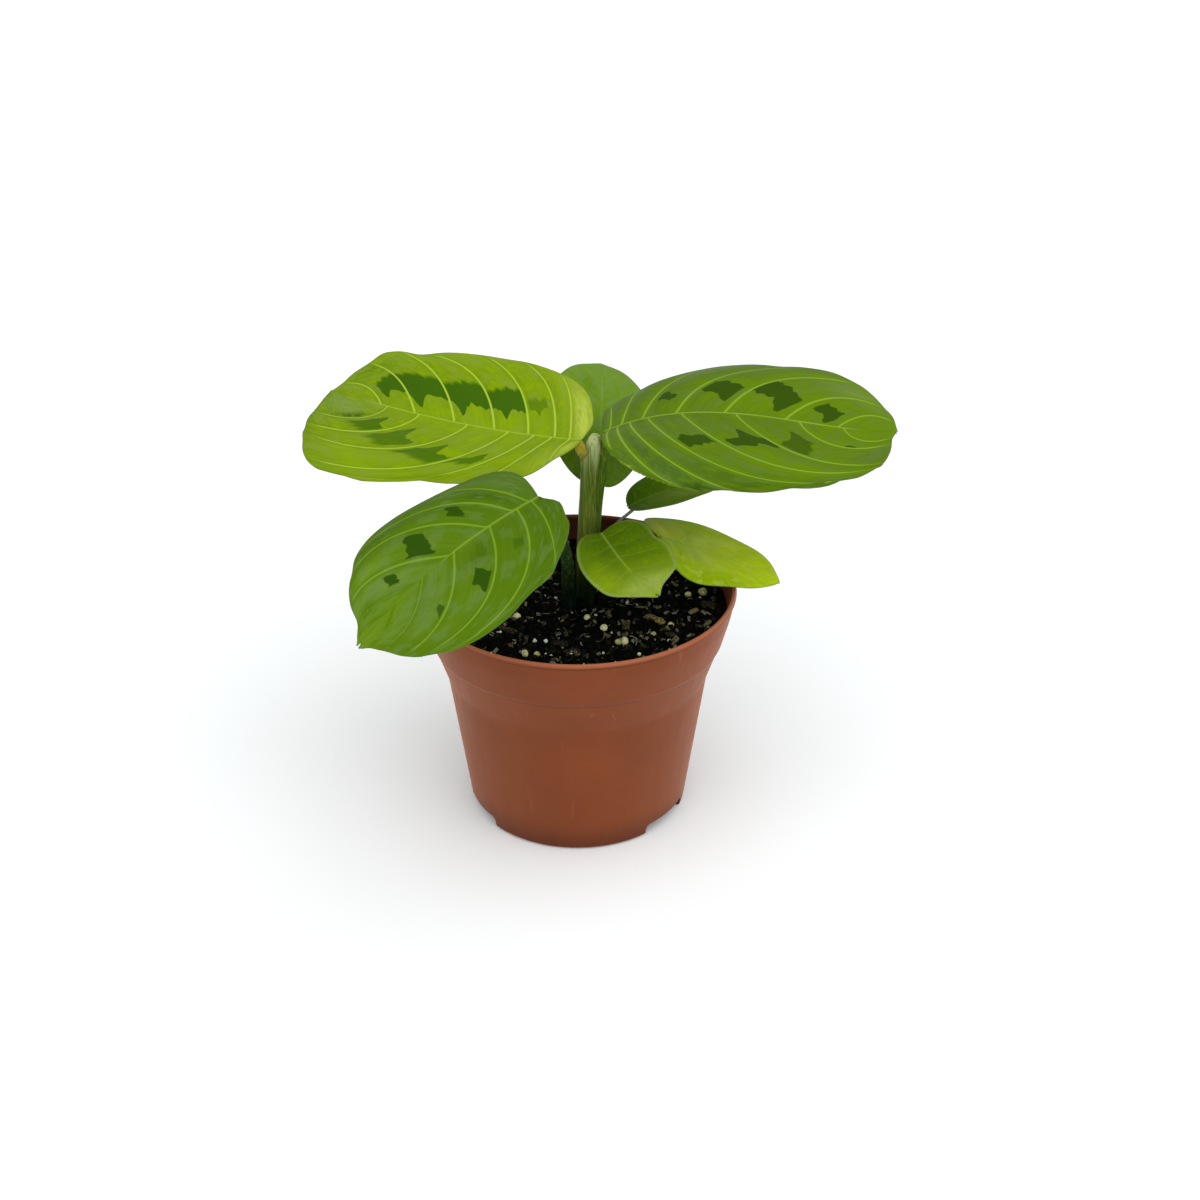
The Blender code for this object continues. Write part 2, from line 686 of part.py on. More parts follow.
def make_blade(name, leaf, parts):
    """A blade: a grid laid along the side veins, bent to shape and thickened downwards."""
    rows = 3 * leaf.veins
    columns = 10 if leaf.length > 80 else 8
    shape = bmesh.new()
    bmesh.ops.create_grid(shape, x_segments=rows, y_segments=columns, size=0.5)
    frames = midrib_frames(leaf)
    weights = {}
    for vert in shape.verts:
        along, across = vert.co.x + 0.5, 2 * vert.co.y
        x, y = vein_point(leaf, along, across)
        vert.co = bent_point(leaf, frames, x, y, surface_lift(leaf, along, across))
        rib = max(0.0, 1 - abs(y) / (3.5 * MM)) * (1 - 0.7 * along)
        weights[vert.index] = (BLADE_EDGE + (BLADE_RIB - BLADE_EDGE) * rib) / BLADE_RIB
    bmesh.ops.triangulate(shape, faces=shape.faces, quad_method="SHORT_EDGE")
    shape.normal_update()
    if sum(face.normal.z for face in shape.faces) < 0:
        bmesh.ops.reverse_faces(shape, faces=shape.faces)
    mesh = bpy.data.meshes.new(name)
    shape.to_mesh(mesh)
    shape.free()
    blade = add_object(name, mesh, parts, material(f"Leaf {name}", leaf.colour, 0.4))
    group = blade.vertex_groups.new(name="thickness")
    for index, weight in weights.items():
        group.add([index], weight, "REPLACE")
    solidify = blade.modifiers.new("Thickness", "SOLIDIFY")
    solidify.thickness = BLADE_RIB
    solidify.offset = -1.0
    solidify.vertex_group = group.name
    smooth_round(mesh, 50.0)
    return blade


def main():
    clear_scene()
    parts = new_collection("Potted prayer plant")
    cutters = new_collection("Cutters", hidden=True)
    make_pot(parts, cutters)
    holes = make_stalks(parts, cutters)
    make_soil(parts, cutters, holes)
    for name, leaf in LEAVES.items():
        make_blade(f"leaf_{name}", leaf, parts)


main()
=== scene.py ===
"""Potted prayer plant: finished leaves, stalks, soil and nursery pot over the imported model."""

import math
import random
from collections import namedtuple
from functools import partial

import bmesh
import bpy
import numpy as np
from mathutils import Matrix, Vector, noise


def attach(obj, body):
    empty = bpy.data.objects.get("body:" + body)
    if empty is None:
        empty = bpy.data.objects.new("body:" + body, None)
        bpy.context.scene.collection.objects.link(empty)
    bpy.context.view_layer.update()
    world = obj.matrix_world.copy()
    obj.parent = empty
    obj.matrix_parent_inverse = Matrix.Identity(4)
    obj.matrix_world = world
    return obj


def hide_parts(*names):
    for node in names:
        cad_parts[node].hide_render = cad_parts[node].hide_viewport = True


bl_info = {
    "name": "Potted Prayer Plant",
    "version": (1, 0, 0),
    "blender": (4, 5, 0),
    "location": "3D View > Sidebar > Prayer Plant",
    "description": "Finished leaves, stalks, soil and pot for the packed prayer plant",
    "category": "Add Mesh",
}

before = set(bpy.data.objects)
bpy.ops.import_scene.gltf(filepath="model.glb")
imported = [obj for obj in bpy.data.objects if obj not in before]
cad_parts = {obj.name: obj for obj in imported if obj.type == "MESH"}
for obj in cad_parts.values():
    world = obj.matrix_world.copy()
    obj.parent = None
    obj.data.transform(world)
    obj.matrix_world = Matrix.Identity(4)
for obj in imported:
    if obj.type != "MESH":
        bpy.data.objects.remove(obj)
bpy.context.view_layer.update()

MM = 0.001
BODY = "root"
LEFT, RIGHT, BOTH = -1, 1, 0

# Leaves
# Lengths are in mm, angles in degrees, and the rest are shares of 1. Pairs are (left half, right
# half), seen from the base. Angles round the margin run from 0 at the base to 180 at the tip.
# base: where the blade meets its stalk. heading: compass direction of the midrib there, from +X.
# turn: how far it turns by the tip. rise: its slope at the base. droop: how much that falls by
# the tip. dip: how much of it comes back, mostly near the tip. roll, twist: how far the right
# half is tilted up at the base, and how much is added by the tip.
# fold, arch: slope of a half at the midrib, and how far it curls down by the margin. lobe: how
# far a half reaches back past the base. egg, full: how near the base the outline is widest, and
# how blunt its ends are. lean, skew: how much wider the right half is, and how much nearer the
# base it is widest. wave: height of the waves along the margin.
# veins: for each half, (start as a share of the midrib, end as an angle round the margin).
# field: greens at the base and at the tip. cool, warm: the islands in them. beside: colour and
# strength of the bands along the veins, a tint on the right and front-left leaves and painted
# shade of the hollows beside the veins on the left leaf. vein, dark: the colours of veins and
# blotches.
# mottle: how patchy it is. show: how clearly side veins and the midrib stand out. rib_end: where
# the midrib fades out.
# leave: the angle at which veins leave the midrib, near the base and near the tip. reach: how
# far they keep to it. ripple: bulges of the outline, and bays where the depth is below 0, as
# (angle, spread, depth).
Leaf = namedtuple(
    "Leaf",
    "base heading turn rise droop dip roll twist length width fold arch lobe egg full lean skew"
    " wave veins field cool warm vein dark mottle show rib_end patches beside blotches leave reach"
    " ripple",
    defaults=(("000000", 0.0), (), ((60, 40), (60, 40)), ((0.6, 0.6), (0.6, 0.6)), ((), ())),
)
# A dark blotch between two veins. gap is the number of the vein on its base side, low and high are
# shares across the gap. near and far are the edges by the midrib and by the margin, as shares
# along the veins, each by the base-side vein and by the tip-side one. tooth is a tongue towards
# the midrib: (where across the gap, how long). soft blurs the far edge. tint is how strong it is.
Blotch = namedtuple(
    "Blotch", "side gap low high near far tooth soft tint", defaults=((0.5, 0.0), 1.0, 0.96)
)
# A soft change of colour. vein and share say where, wide and long how far it spreads, in gaps and
# in shares of the veins' length.
Patch = namedtuple("Patch", "side vein share wide long colour strength")
# Where the last row of a blade's grid starts, a little past the tip, as a share of the midrib
LAST_ROW = 1.02


def even_veins(count):
    """Side veins by the rule that a small leaf follows: close at the base, wide at the tip."""
    steps = [k / (count + 1) for k in range(1, count + 1)]
    half = tuple((LAST_ROW * step**1.6, 180 * step**0.85) for step in steps)
    return half, half


LEAVES = {
    "left": Leaf(
        base=(2.0, 0.0, 150.5), heading=160, turn=-27, rise=-5, droop=-10, dip=-12,
        roll=3, twist=23, length=118, width=72, fold=(12, 12), arch=(27, 1),
        lobe=(0.06, 0.04), egg=0.07, full=0.37, lean=-0.05, skew=0.15, wave=0.6,
        veins=(
            ((0.04, 28), (0.10, 58), (0.16, 120), (0.25, 135), (0.40, 154), (0.59, 160), (0.73, 167)),
            ((0.04, 57), (0.09, 77), (0.18, 93), (0.30, 119), (0.45, 135), (0.61, 154), (0.76, 173)),
        ),
        leave=((87, 104), (77, 24)), reach=((0.76, 0.43), (0.75, 0.60)),
        field=("738E04", "6A8506"), cool="78902A", warm="7F9C03", beside=("5E7A04", 0.35),
        vein="9CB838", dark="345A03", mottle=0.75, show=(0.95, 0.5), rib_end=0.86,
        blotches=(
            Blotch(RIGHT, 2, 0.20, 0.90, (0.27, 0.23), (0.37, 0.34), (0.56, 0.07), 6, 0.55),
            Blotch(RIGHT, 3, 0.04, 1.00, (0.20, 0.18), (0.45, 0.35), (0.61, 0.09), 5),
            Blotch(RIGHT, 4, 0.02, 1.00, (0.17, 0.22), (0.45, 0.42), (0.73, 0.13), 6),
            Blotch(RIGHT, 5, 0.00, 1.00, (0.22, 0.24), (0.44, 0.60), (0.77, 0.16), 6),
            Blotch(RIGHT, 6, 0.00, 0.76, (0.28, 0.32), (0.66, 0.48), (0.64, 0.15), 5),
            Blotch(LEFT, 3, 0.14, 0.86, (0.32, 0.36), (0.39, 0.44), (0.36, 0.07), 5, 0.75),
            Blotch(LEFT, 4, 0.05, 0.86, (0.38, 0.42), (0.49, 0.58), (0.57, 0.12), 7, 0.80),
            Blotch(LEFT, 5, 0.14, 0.82, (0.39, 0.38), (0.62, 0.62), (0.66, 0.17), 8, 0.72),
            Blotch(LEFT, 6, 0.08, 0.72, (0.40, 0.36), (0.60, 0.66), (0.54, 0.16), 8, 0.80),
        ),
        patches=(
            Patch(RIGHT, 0.3, 0.50, 0.7, 0.55, "ADBC48", 0.9),
            Patch(LEFT, 0.5, 0.65, 0.7, 0.45, "A6B640", 0.7),
            Patch(LEFT, 7.90, 0.80, 0.8, 0.30, "5E7A03", 0.7),
            Patch(LEFT, 7.50, 0.46, 0.42, 0.40, "70883C", 0.95),
            Patch(LEFT, 7.08, 0.52, 0.09, 0.26, "344E06", 0.9),
            Patch(RIGHT, 4.6, 0.88, 1.8, 0.16, "76902C", 0.6),
            Patch(LEFT, 5.2, 1.00, 1.4, 0.12, "527006", 0.6),
            Patch(BOTH, 4.0, 0.05, 3.0, 0.14, "7E9C0A", 0.5),
            Patch(LEFT, 4.4, 0.80, 1.2, 0.22, "7C9A14", 0.5),
            Patch(RIGHT, 7.4, 0.60, 0.5, 0.30, "78902C", 0.6),
            Patch(RIGHT, 6.3, 0.82, 0.6, 0.14, "547403", 0.8),
        ),
        ripple=(
            ((24, 6, -0.8), (40, 8, 1.4), (82, 9, -1.5), (99, 7, 1.2), (130, 10, 0.7), (146, 5, -0.7),
             (159, 7, 0.6)),
            ((11, 6, 1.2), (77, 12, 1.6), (123, 9, -1.5), (145, 6, 1.2), (173, 6, -1.6)),
        ),
    ),
    "right": Leaf(
        base=(10.0, 0.0, 153.5), heading=5, turn=12, rise=24, droop=110, dip=79,
        roll=7, twist=-54, length=111, width=73, fold=(19, 20), arch=(55, 48),
        lobe=(0.0, 0.06), egg=0.45, full=0.31, lean=0.03, skew=0.09, wave=0.6,
        veins=(
            ((0.02, 24), (0.06, 49), (0.13, 82), (0.24, 119), (0.40, 144), (0.61, 165), (0.80, 174)),
            ((0.02, 36), (0.05, 60), (0.09, 78), (0.15, 128), (0.26, 146), (0.44, 153), (0.66, 169),
             (0.82, 175)),
        ),
        leave=((69, 34), (95, 65)), reach=((0.29, 0.63), (1.10, 0.44)),
        field=("4E6A10", "5C7808"), cool="58702E", warm="5E7A03", beside=("587803", 0.55),
        vein="7E9C30", dark="2E4704", mottle=0.65, show=(0.85, 0.80), rib_end=0.90,
        blotches=(
            Blotch(LEFT, 3, 0.16, 0.64, (0.20, 0.17), (0.31, 0.21), (0.50, 0.02)),
            Blotch(LEFT, 4, 0.10, 0.84, (0.22, 0.14), (0.37, 0.29), (0.72, 0.05)),
            Blotch(LEFT, 5, 0.04, 0.84, (0.26, 0.15), (0.48, 0.30), (0.70, 0.10)),
            Blotch(LEFT, 6, 0.20, 0.78, (0.20, 0.13), (0.38, 0.29), (0.67, 0.10)),
            Blotch(RIGHT, 4, 0.12, 0.88, (0.28, 0.27), (0.37, 0.36), (0.30, 0.03)),
            Blotch(RIGHT, 5, 0.08, 0.94, (0.34, 0.34), (0.41, 0.48), (0.62, 0.09)),
            Blotch(RIGHT, 6, 0.06, 0.68, (0.43, 0.30), (0.64, 0.46), (0.62, 0.08), 3, 0.72),
            Blotch(RIGHT, 7, 0.00, 0.24, (0.60, 0.60), (0.80, 0.66)),
        ),
        patches=(
            Patch(LEFT, 1.0, 0.55, 1.1, 0.6, "4E682A", 0.8),
            Patch(LEFT, 3.5, 0.85, 1.4, 0.22, "526A24", 0.7),
            Patch(LEFT, 5.8, 0.85, 1.0, 0.25, "687C3A", 0.8),
            Patch(LEFT, 5.2, 0.22, 0.8, 0.22, "5E7A03", 0.7),
            Patch(LEFT, 6.4, 0.35, 0.6, 0.35, "587403", 0.6),
            Patch(RIGHT, 2.4, 0.55, 0.9, 0.5, "3F5A1E", 0.8),
            Patch(RIGHT, 2.4, 0.94, 1.1, 0.10, "223B03", 0.8),
            Patch(RIGHT, 3.6, 0.80, 0.8, 0.25, "3E5A03", 0.6),
            Patch(RIGHT, 5.0, 0.65, 0.6, 0.25, "607C06", 0.6),
            Patch(RIGHT, 6.6, 0.92, 0.9, 0.16, "4C6420", 0.7),
        ),
        ripple=(
            ((67, 6, -2.0), (82, 6, 2.0), (94, 6, 0.9), (107, 5, -1.1), (138, 8, -0.6), (171, 5, 0.7)),
            ((72, 7, -0.9), (90, 6, 0.4), (103, 6, -0.7), (126, 5, -1.0), (153, 7, 0.4),
             (173, 7, -1.5)),
        ),
    ),
    "front_left": Leaf(
        base=(-12.5, -34.8, 144.5), heading=224, turn=13, rise=-6, droop=11, dip=-2,
        roll=19, twist=29, length=88, width=58.3, fold=(24, 33), arch=(34, 101),
        lobe=(0.14, 0.09), egg=0.09, full=0.04, lean=-0.03, skew=0.10, wave=0.5,
        veins=(
            ((0.04, 66), (0.12, 128), (0.27, 144), (0.47, 155), (0.65, 168), (0.82, 175)),
            ((0.05, 77), (0.14, 120), (0.28, 136), (0.50, 153), (0.70, 168), (0.85, 175)),
        ),
        leave=((76, 17), (54, 10)), reach=((0.56, 0.62), (0.52, 0.75)),
        field=("48660A", "5E7C10"), cool="5C7638", warm="4E6C03", beside=("4A6A03", 0.7),
        vein="78942E", dark="264503", mottle=0.65, show=(0.66, 0.66), rib_end=0.56,
        blotches=(
            Blotch(RIGHT, 2, 0.16, 0.70, (0.26, 0.14), (0.33, 0.24)),
            Blotch(RIGHT, 3, 0.18, 0.88, (0.32, 0.11), (0.44, 0.31)),
            Blotch(RIGHT, 4, 0.20, 0.62, (0.38, 0.26), (0.51, 0.38)),
            Blotch(LEFT, 3, 0.09, 0.53, (0.31, 0.21), (0.45, 0.35)),
            Blotch(LEFT, 4, 0.06, 0.33, (0.47, 0.39), (0.59, 0.47), (0.5, 0.0), 2, 0.80),
            Blotch(LEFT, 2, 0.15, 0.47, (0.20, 0.17), (0.26, 0.24), (0.5, 0.0), 3, 0.40),
        ),
        patches=(
            Patch(RIGHT, 0.8, 0.45, 0.8, 0.5, "4E6A28", 0.8),
            Patch(RIGHT, 2.3, 0.74, 1.1, 0.26, "3E5C0A", 0.7),
            Patch(RIGHT, 1.6, 0.24, 0.7, 0.18, "365406", 0.8),
            Patch(RIGHT, 3.8, 0.68, 0.4, 0.18, "66861C", 0.7),
            Patch(RIGHT, 4.5, 0.50, 0.6, 0.4, "66803A", 0.7),
            Patch(RIGHT, 4.95, 0.68, 0.4, 0.14, "426203", 0.7),
            Patch(LEFT, 3.3, 0.14, 0.4, 0.10, "3E5C03", 0.8),
            Patch(LEFT, 4.8, 0.35, 0.7, 0.35, "5C7634", 0.7),
            Patch(LEFT, 2.4, 0.55, 0.5, 0.3, "4A6A03", 0.5),
            Patch(LEFT, 0.9, 0.60, 0.9, 0.5, "3C5A03", 0.5),
            Patch(LEFT, 4.3, 0.92, 1.2, 0.14, "446203", 0.6),
        ),
        ripple=(
            ((13, 5, 0.9), (29, 6, -1.0), (69, 6, 1.0), (84, 7, -0.7), (139, 7, -0.4), (157, 6, 0.4),
             (180, 5, 2.2)),
            ((8, 8, -0.5), (69, 10, -1.3), (95, 8, -0.3), (132, 6, -0.4), (165, 8, -0.6), (180, 5, 2.2)),
        ),
    ),
    "front": Leaf(
        base=(9.0, -10.0, 118.0), heading=294, turn=2, rise=-13, droop=-8, dip=11,
        roll=-11, twist=-4, length=45, width=35, fold=(29, 26), arch=(25, 11),
        lobe=(0.07, 0.05), egg=-0.03, full=0.12, lean=-0.01, skew=-0.10, wave=0.4,
        veins=even_veins(5), field=("4E6E03", "86A00E"), cool="6A8828", warm="789806",
        vein="9CB24C", dark="3E5A03", mottle=0.45, show=(0.12, 0.5), rib_end=0.62,
        patches=(
            Patch(BOTH, 5.2, 0.45, 0.7, 0.7, "A4B45C", 0.7),
            Patch(BOTH, 2.2, 0.30, 1.2, 0.4, "4A6C03", 0.6),
            Patch(RIGHT, 3.6, 0.70, 1.2, 0.35, "86A00E", 0.7),
            Patch(LEFT, 2.5, 0.60, 1.0, 0.4, "587406", 0.4),
            Patch(BOTH, 3.5, 1.00, 3.0, 0.07, "A0B45A", 0.7),
        ),
        ripple=(
            ((78, 16, -2.3), (136, 10, 1.5), (161, 8, -0.8), (180, 7, 2.2)),
            ((138, 14, 0.8), (180, 7, 2.2)),
        ),
    ),
    "front_right": Leaf(
        base=(30.5, 0.0, 112.0), heading=14, turn=-17, rise=-24, droop=5, dip=4,
        roll=6, twist=-19, length=50, width=38, fold=(2, 3), arch=(1, 37),
        lobe=(0.21, 0.16), egg=0.49, full=0.18, lean=-0.09, skew=0.13, wave=0.3,
        veins=even_veins(5), field=("8AA808", "AAC012"), cool="A6B63C", warm="96AE03",
        vein="B4C848", dark="5C7A06", mottle=0.75, show=(0.10, 0.12), rib_end=0.9,
        patches=(
            # Painted shade: the dark hollow where the blade meets its stalk
            Patch(BOTH, 0.0, 0.00, 0.30, 0.09, "141E03", 1.0),
            # Painted light: paler where the leaves above shade this blade
            Patch(LEFT, 0.9, 0.45, 0.9, 0.6, "BAC01E", 0.9),
            Patch(BOTH, 2.7, 0.30, 0.5, 0.22, "B8C668", 0.6),
            Patch(LEFT, 3.4, 0.55, 0.4, 0.20, "C2CC54", 0.6),
            Patch(RIGHT, 2.6, 0.90, 1.6, 0.34, "7C9A03", 0.9),
            Patch(RIGHT, 2.2, 0.35, 0.5, 0.2, "8A9C40", 0.7),
            Patch(BOTH, 3.6, 0.30, 1.0, 0.25, "A0B610", 0.6),
        ),
    ),
    "back": Leaf(
        base=(7.5, 14.0, 127.5), heading=85, turn=7, rise=39, droop=35, dip=-5,
        roll=-8, twist=-1, length=66, width=41, fold=(12, 5), arch=(15, 24),
        lobe=(0.12, 0.17), egg=-0.07, full=-0.23, lean=-0.03, skew=-0.04, wave=0.3,
        veins=even_veins(5), field=("688C14", "64822A"), cool="66823C", warm="62820A",
        vein="7E9C48", dark="3F6210", mottle=1.0, show=(0.16, 0.35), rib_end=0.8,
        patches=(
            Patch(LEFT, 4.5, 0.35, 0.35, 0.25, "547A03", 0.9),
            Patch(LEFT, 1.0, 0.40, 1.2, 0.6, "5E7A03", 0.7),
            Patch(RIGHT, 0.8, 0.50, 1.0, 0.5, "6E902C", 0.7),
        ),
    ),
    "back_right": Leaf(
        base=(19.5, 22.0, 113.0), heading=16, turn=0, rise=23, droop=30, dip=-2,
        roll=0, twist=0, length=35, width=26, fold=(17, 16), arch=(9, 17),
        lobe=(0.03, 0.04), egg=0.07, full=-0.01, lean=0.0, skew=0.02, wave=0.2,
        veins=even_veins(4), field=("4E7203", "74920E"), cool="64842A", warm="6E8E04",
        vein="8CA62E", dark="36500A", mottle=0.8, show=(0.12, 0.35), rib_end=0.8,
        patches=(
            Patch(RIGHT, 3.5, 0.60, 1.2, 0.5, "98B018", 0.7),
            Patch(BOTH, 0.5, 0.40, 0.7, 0.6, "3C5A03", 0.7),
        ),
    ),
}

# Stalks
# Points in mm from the soil up, with the radius in mm at each. A stalk that names a leaf goes on
# to that leaf's base, and has one more radius for there. joint: length in mm of the swollen joint
# under the blade. shades: colours at the soil, half way up and at the top.
Stalk = namedtuple("Stalk", "leaf points radii joint shades")

STALKS = {
    "stalk_front_left": Stalk(
        "front_left", ((-3.0, 0.6, 82), (-3.1, -4.0, 97), (-4.2, -14.0, 114), (-7.6, -27.5, 131)),
        (2.9, 2.6, 2.0, 1.4, 1.5), 6.0, ("06120A", "264420", "5A7A3E"),
    ),
    "stalk_front": Stalk(
        "front", ((5.0, 1.0, 82), (5.6, -1.5, 95), (7.2, -6.0, 107)), (1.5, 1.3, 1.1, 1.1), 3.5,
        ("0E180A", "2C4412", "55742C"),
    ),
    "stalk_front_right": Stalk(
        "front_right", ((11.0, 5.0, 82), (14.5, 4.0, 92), (22.0, 2.0, 102)), (1.5, 1.3, 1.1, 1.1), 3.5,
        ("0E180A", "2C4412", "5A7630"),
    ),
    "stalk_back": Stalk(
        "back", ((4.5, 17.0, 82), (5.0, 17.0, 98), (6.5, 16.0, 114)), (1.6, 1.5, 1.3, 1.3), 4.0,
        ("0E180A", "2C4412", "55742C"),
    ),
    "stalk_back_right": Stalk(
        "back_right", ((8.5, 15.0, 82), (10.4, 17.5, 93), (12.8, 20.5, 104)), (0.9, 0.65, 0.55, 0.65), 2.5,
        ("3E4234", "9A988A", "B4B098"),
    ),
}
SHOOT = {
    "sheath": Stalk(
        None, ((3.0, 7.0, 82), (3.5, 6.2, 100), (4.1, 5.0, 120), (4.9, 3.6, 138), (6.4, 2.8, 148),
               (7.1, 2.7, 151.5)),
        (3.4, 3.3, 3.2, 3.3, 2.9, 1.5), 0.0, ("0E1E06", "5A6C1C", "ACB87C"),
    ),
    "left_stalk": Stalk(
        "left", ((1.0, 8.4, 82), (1.9, 7.6, 100), (2.8, 6.6, 120), (3.6, 5.2, 136), (2.8, 2.6, 144)),
        (2.4, 2.3, 2.1, 2.0, 1.8, 1.7), 7.0, ("0E1E06", "72803A", "9C9838"),
    ),
    "right_stalk": Stalk(
        "right", ((5.0, 8.6, 82), (6.0, 7.8, 100), (7.3, 6.6, 120), (9.1, 5.2, 138), (10.4, 3.4, 147)),
        (2.2, 2.1, 2.1, 2.1, 2.1, 2.0), 5.0, ("0E1E06", "46640E", "52700E"),
    ),
}

# Grains on the soil
# (x, y, diameter) in mm from the pot's axis: resin-coated fertiliser and lumps of perlite
PRILLS = (
    (17.5, -29.2, 3.2), (15.2, -29.9, 2.5), (34.9, -14.1, 2.4), (28.2, -21.9, 2.2), (10.0, -20.2, 2.8),
    (3.8, -9.7, 2.6), (47.9, 8.9, 3.6), (42.1, 5.8, 2.6), (-22.4, -9.3, 3.0), (-18.4, -37.4, 2.8),
    (-14.1, -37.6, 2.4), (-1.8, -38.3, 1.3), (22.7, -36.3, 1.5), (-31.0, 18.0, 3.0), (12.0, 36.0, 2.8),
    (-20.0, 33.0, 3.2), (36.0, 26.0, 2.6), (-40.0, -6.0, 2.8),
)
PERLITE = (
    (-15.1, -29.3, 1.8), (-11.1, -29.3, 1.7), (-8.2, 4.4, 1.4), (-10.8, -36.1, 1.2), (-9.1, -37.8, 1.4),
    (34.0, -25.5, 1.7), (18.9, 1.4, 1.8), (9.8, -36.9, 1.0), (7.0, -9.3, 1.0), (12.9, -23.4, 1.0),
    (-28.0, -22.0, 1.6), (6.0, 28.0, 2.0), (-34.0, 8.0, 1.8), (24.0, 38.0, 1.8), (-10.0, 44.0, 1.6),
)
RIM_CRUMBS = ((-29.6, -51.6, 1.0), (3.0, -59.0, 0.7), (14.0, -57.6, 0.6), (33.0, -49.0, 0.8))
# (x, y, length, width, thickness, turn, tone): chips of bark and twigs, from dark (0) to tan (1)
CHIPS = (
    (27.3, -9.3, 5.5, 3.4, 1.6, -30, 0.80), (30.7, -11.5, 5.2, 3.0, 1.8, -45, 0.95),
    (32.6, -16.0, 4.2, 2.2, 1.3, -60, 0.55), (34.6, -21.7, 4.6, 2.2, 1.2, -15, 0.40),
    (18.1, -16.0, 6.5, 2.6, 2.2, 80, 0.60), (22.1, -11.2, 2.6, 2.2, 1.0, 20, 0.40),
    (19.5, -6.6, 3.2, 1.2, 0.9, 80, 0.65), (21.8, -27.5, 3.2, 2.6, 1.6, 10, 0.30),
    (24.6, -31.7, 3.5, 2.0, 1.0, -10, 0.35), (23.2, -20.5, 2.6, 2.0, 1.0, 0, 0.45),
    (39.1, -14.5, 2.0, 2.6, 1.0, 60, 0.65), (49.5, 0.4, 7.0, 4.5, 2.2, -20, 0.35),
    (42.0, -22.0, 5.0, 1.1, 0.8, 25, 0.75), (13.1, -35.4, 7.6, 0.5, 0.4, 54, 0.80),
    (-1.3, -35.2, 7.0, 4.0, 1.8, 10, 0.20), (-4.7, -30.3, 4.0, 3.0, 1.8, 0, 0.25),
    (5.1, -15.1, 4.0, 1.1, 0.9, 80, 0.50), (-6.8, -30.6, 4.5, 3.0, 1.8, -20, 0.20),
    (-24.0, -22.0, 6.0, 3.0, 1.6, -30, 0.30), (-27.0, -18.0, 5.0, 2.0, 1.2, -40, 0.40),
    (-23.8, -31.2, 3.0, 1.2, 1.0, -60, 0.80), (-19.0, -28.0, 5.0, 1.6, 1.0, -30, 0.30),
    (10.0, 24.0, 5.0, 3.0, 1.6, 40, 0.50), (-20.0, 20.0, 5.0, 3.0, 1.4, -20, 0.40),
    (28.0, 20.0, 5.0, 3.0, 1.4, 70, 0.45), (-36.0, 22.0, 4.0, 3.0, 1.4, 15, 0.60),
)


def linear(hex_colour):
    """An sRGB hex colour as linear red, green, blue and a full alpha."""
    channels = [int(hex_colour[i : i + 2], 16) / 255 for i in (0, 2, 4)]
    return (*(c / 12.92 if c <= 0.04045 else ((c + 0.055) / 1.055) ** 2.4 for c in channels), 1.0)


def add_node(tree, kind, inputs=None, **settings):
    """Adds a node. Inputs, by name or number, take a value, a socket or a node's first output."""
    node = tree.nodes.new(kind)
    for name, value in settings.items():
        setattr(node, name, value)
    for key, value in (inputs or {}).items():
        shown = [s for s in node.inputs if s.enabled]
        socket = shown[key] if isinstance(key, int) else next(s for s in shown if s.name == key)
        if isinstance(value, bpy.types.Node):
            value = next(s for s in value.outputs if s.enabled)
        if isinstance(value, bpy.types.NodeSocket):
            tree.links.new(value, socket)
        else:
            socket.default_value = value
    return node


def out(node, name):
    """A node's shown output of that name."""
    return next(s for s in node.outputs if s.enabled and s.name == name)


# Materials

# The range that noise mostly keeps to
NOISE = {"From Min": 0.3, "From Max": 0.7}
# Repeats of a blade's patterns over a gap between side veins, which is about 13 mm, and over the
# length of a vein: veinlets about 1 mm wide, and islands about 5 mm wide
VEINLETS, ISLANDS = (13.0, 3.0, 1.0), (2.6, 7.0, 1.0)


def scale_of(size):
    """A pattern's scale, from the real size of its grain in mm."""
    return 1.0 / (size * MM)


def new_material(name):
    """An empty material, the call that adds a node to it, and the place on the piece."""
    surface = bpy.data.materials.new(name)
    surface.use_nodes = True
    surface.node_tree.nodes.clear()
    add = partial(add_node, surface.node_tree)
    return surface, add, out(add("ShaderNodeTexCoord"), "Object")


def painted(add, colour, *coats):
    """Lays coats over a colour. Each is (mask, where it starts, where it is full, strength, hex)."""
    for mask, start, full, strength, over in coats:
        cover = add(
            "ShaderNodeMapRange",
            {"Value": mask, "From Min": start, "From Max": full, "To Min": 0.0, "To Max": strength},
            interpolation_type="SMOOTHSTEP",
        )
        colour = add("ShaderNodeMix", {"Factor": cover, "A": colour, "B": linear(over)}, data_type="RGBA")
    return colour


def shaded(add, colour, mask, low, high):
    """Darkens and lightens a colour by a pattern, from low to high."""
    light = add("ShaderNodeMapRange", {"Value": mask, **NOISE, "To Min": low, "To Max": high})
    return add("ShaderNodeMix", {"Factor": 1.0, "A": colour, "B": light}, data_type="RGBA",
               blend_type="MULTIPLY")


def coated(surface, add, height, strength, depth, **shader):
    """Ends a material: its relief, of a depth in mm, and its shader's inputs, with _ for a space."""
    bump = add("ShaderNodeBump", {"Height": height, "Strength": strength, "Distance": depth * MM})
    inputs = {name.replace("_", " "): value for name, value in shader.items()}
    principled = add("ShaderNodeBsdfPrincipled", {**inputs, "Normal": bump})
    add("ShaderNodeOutputMaterial", {"Surface": principled})
    return surface


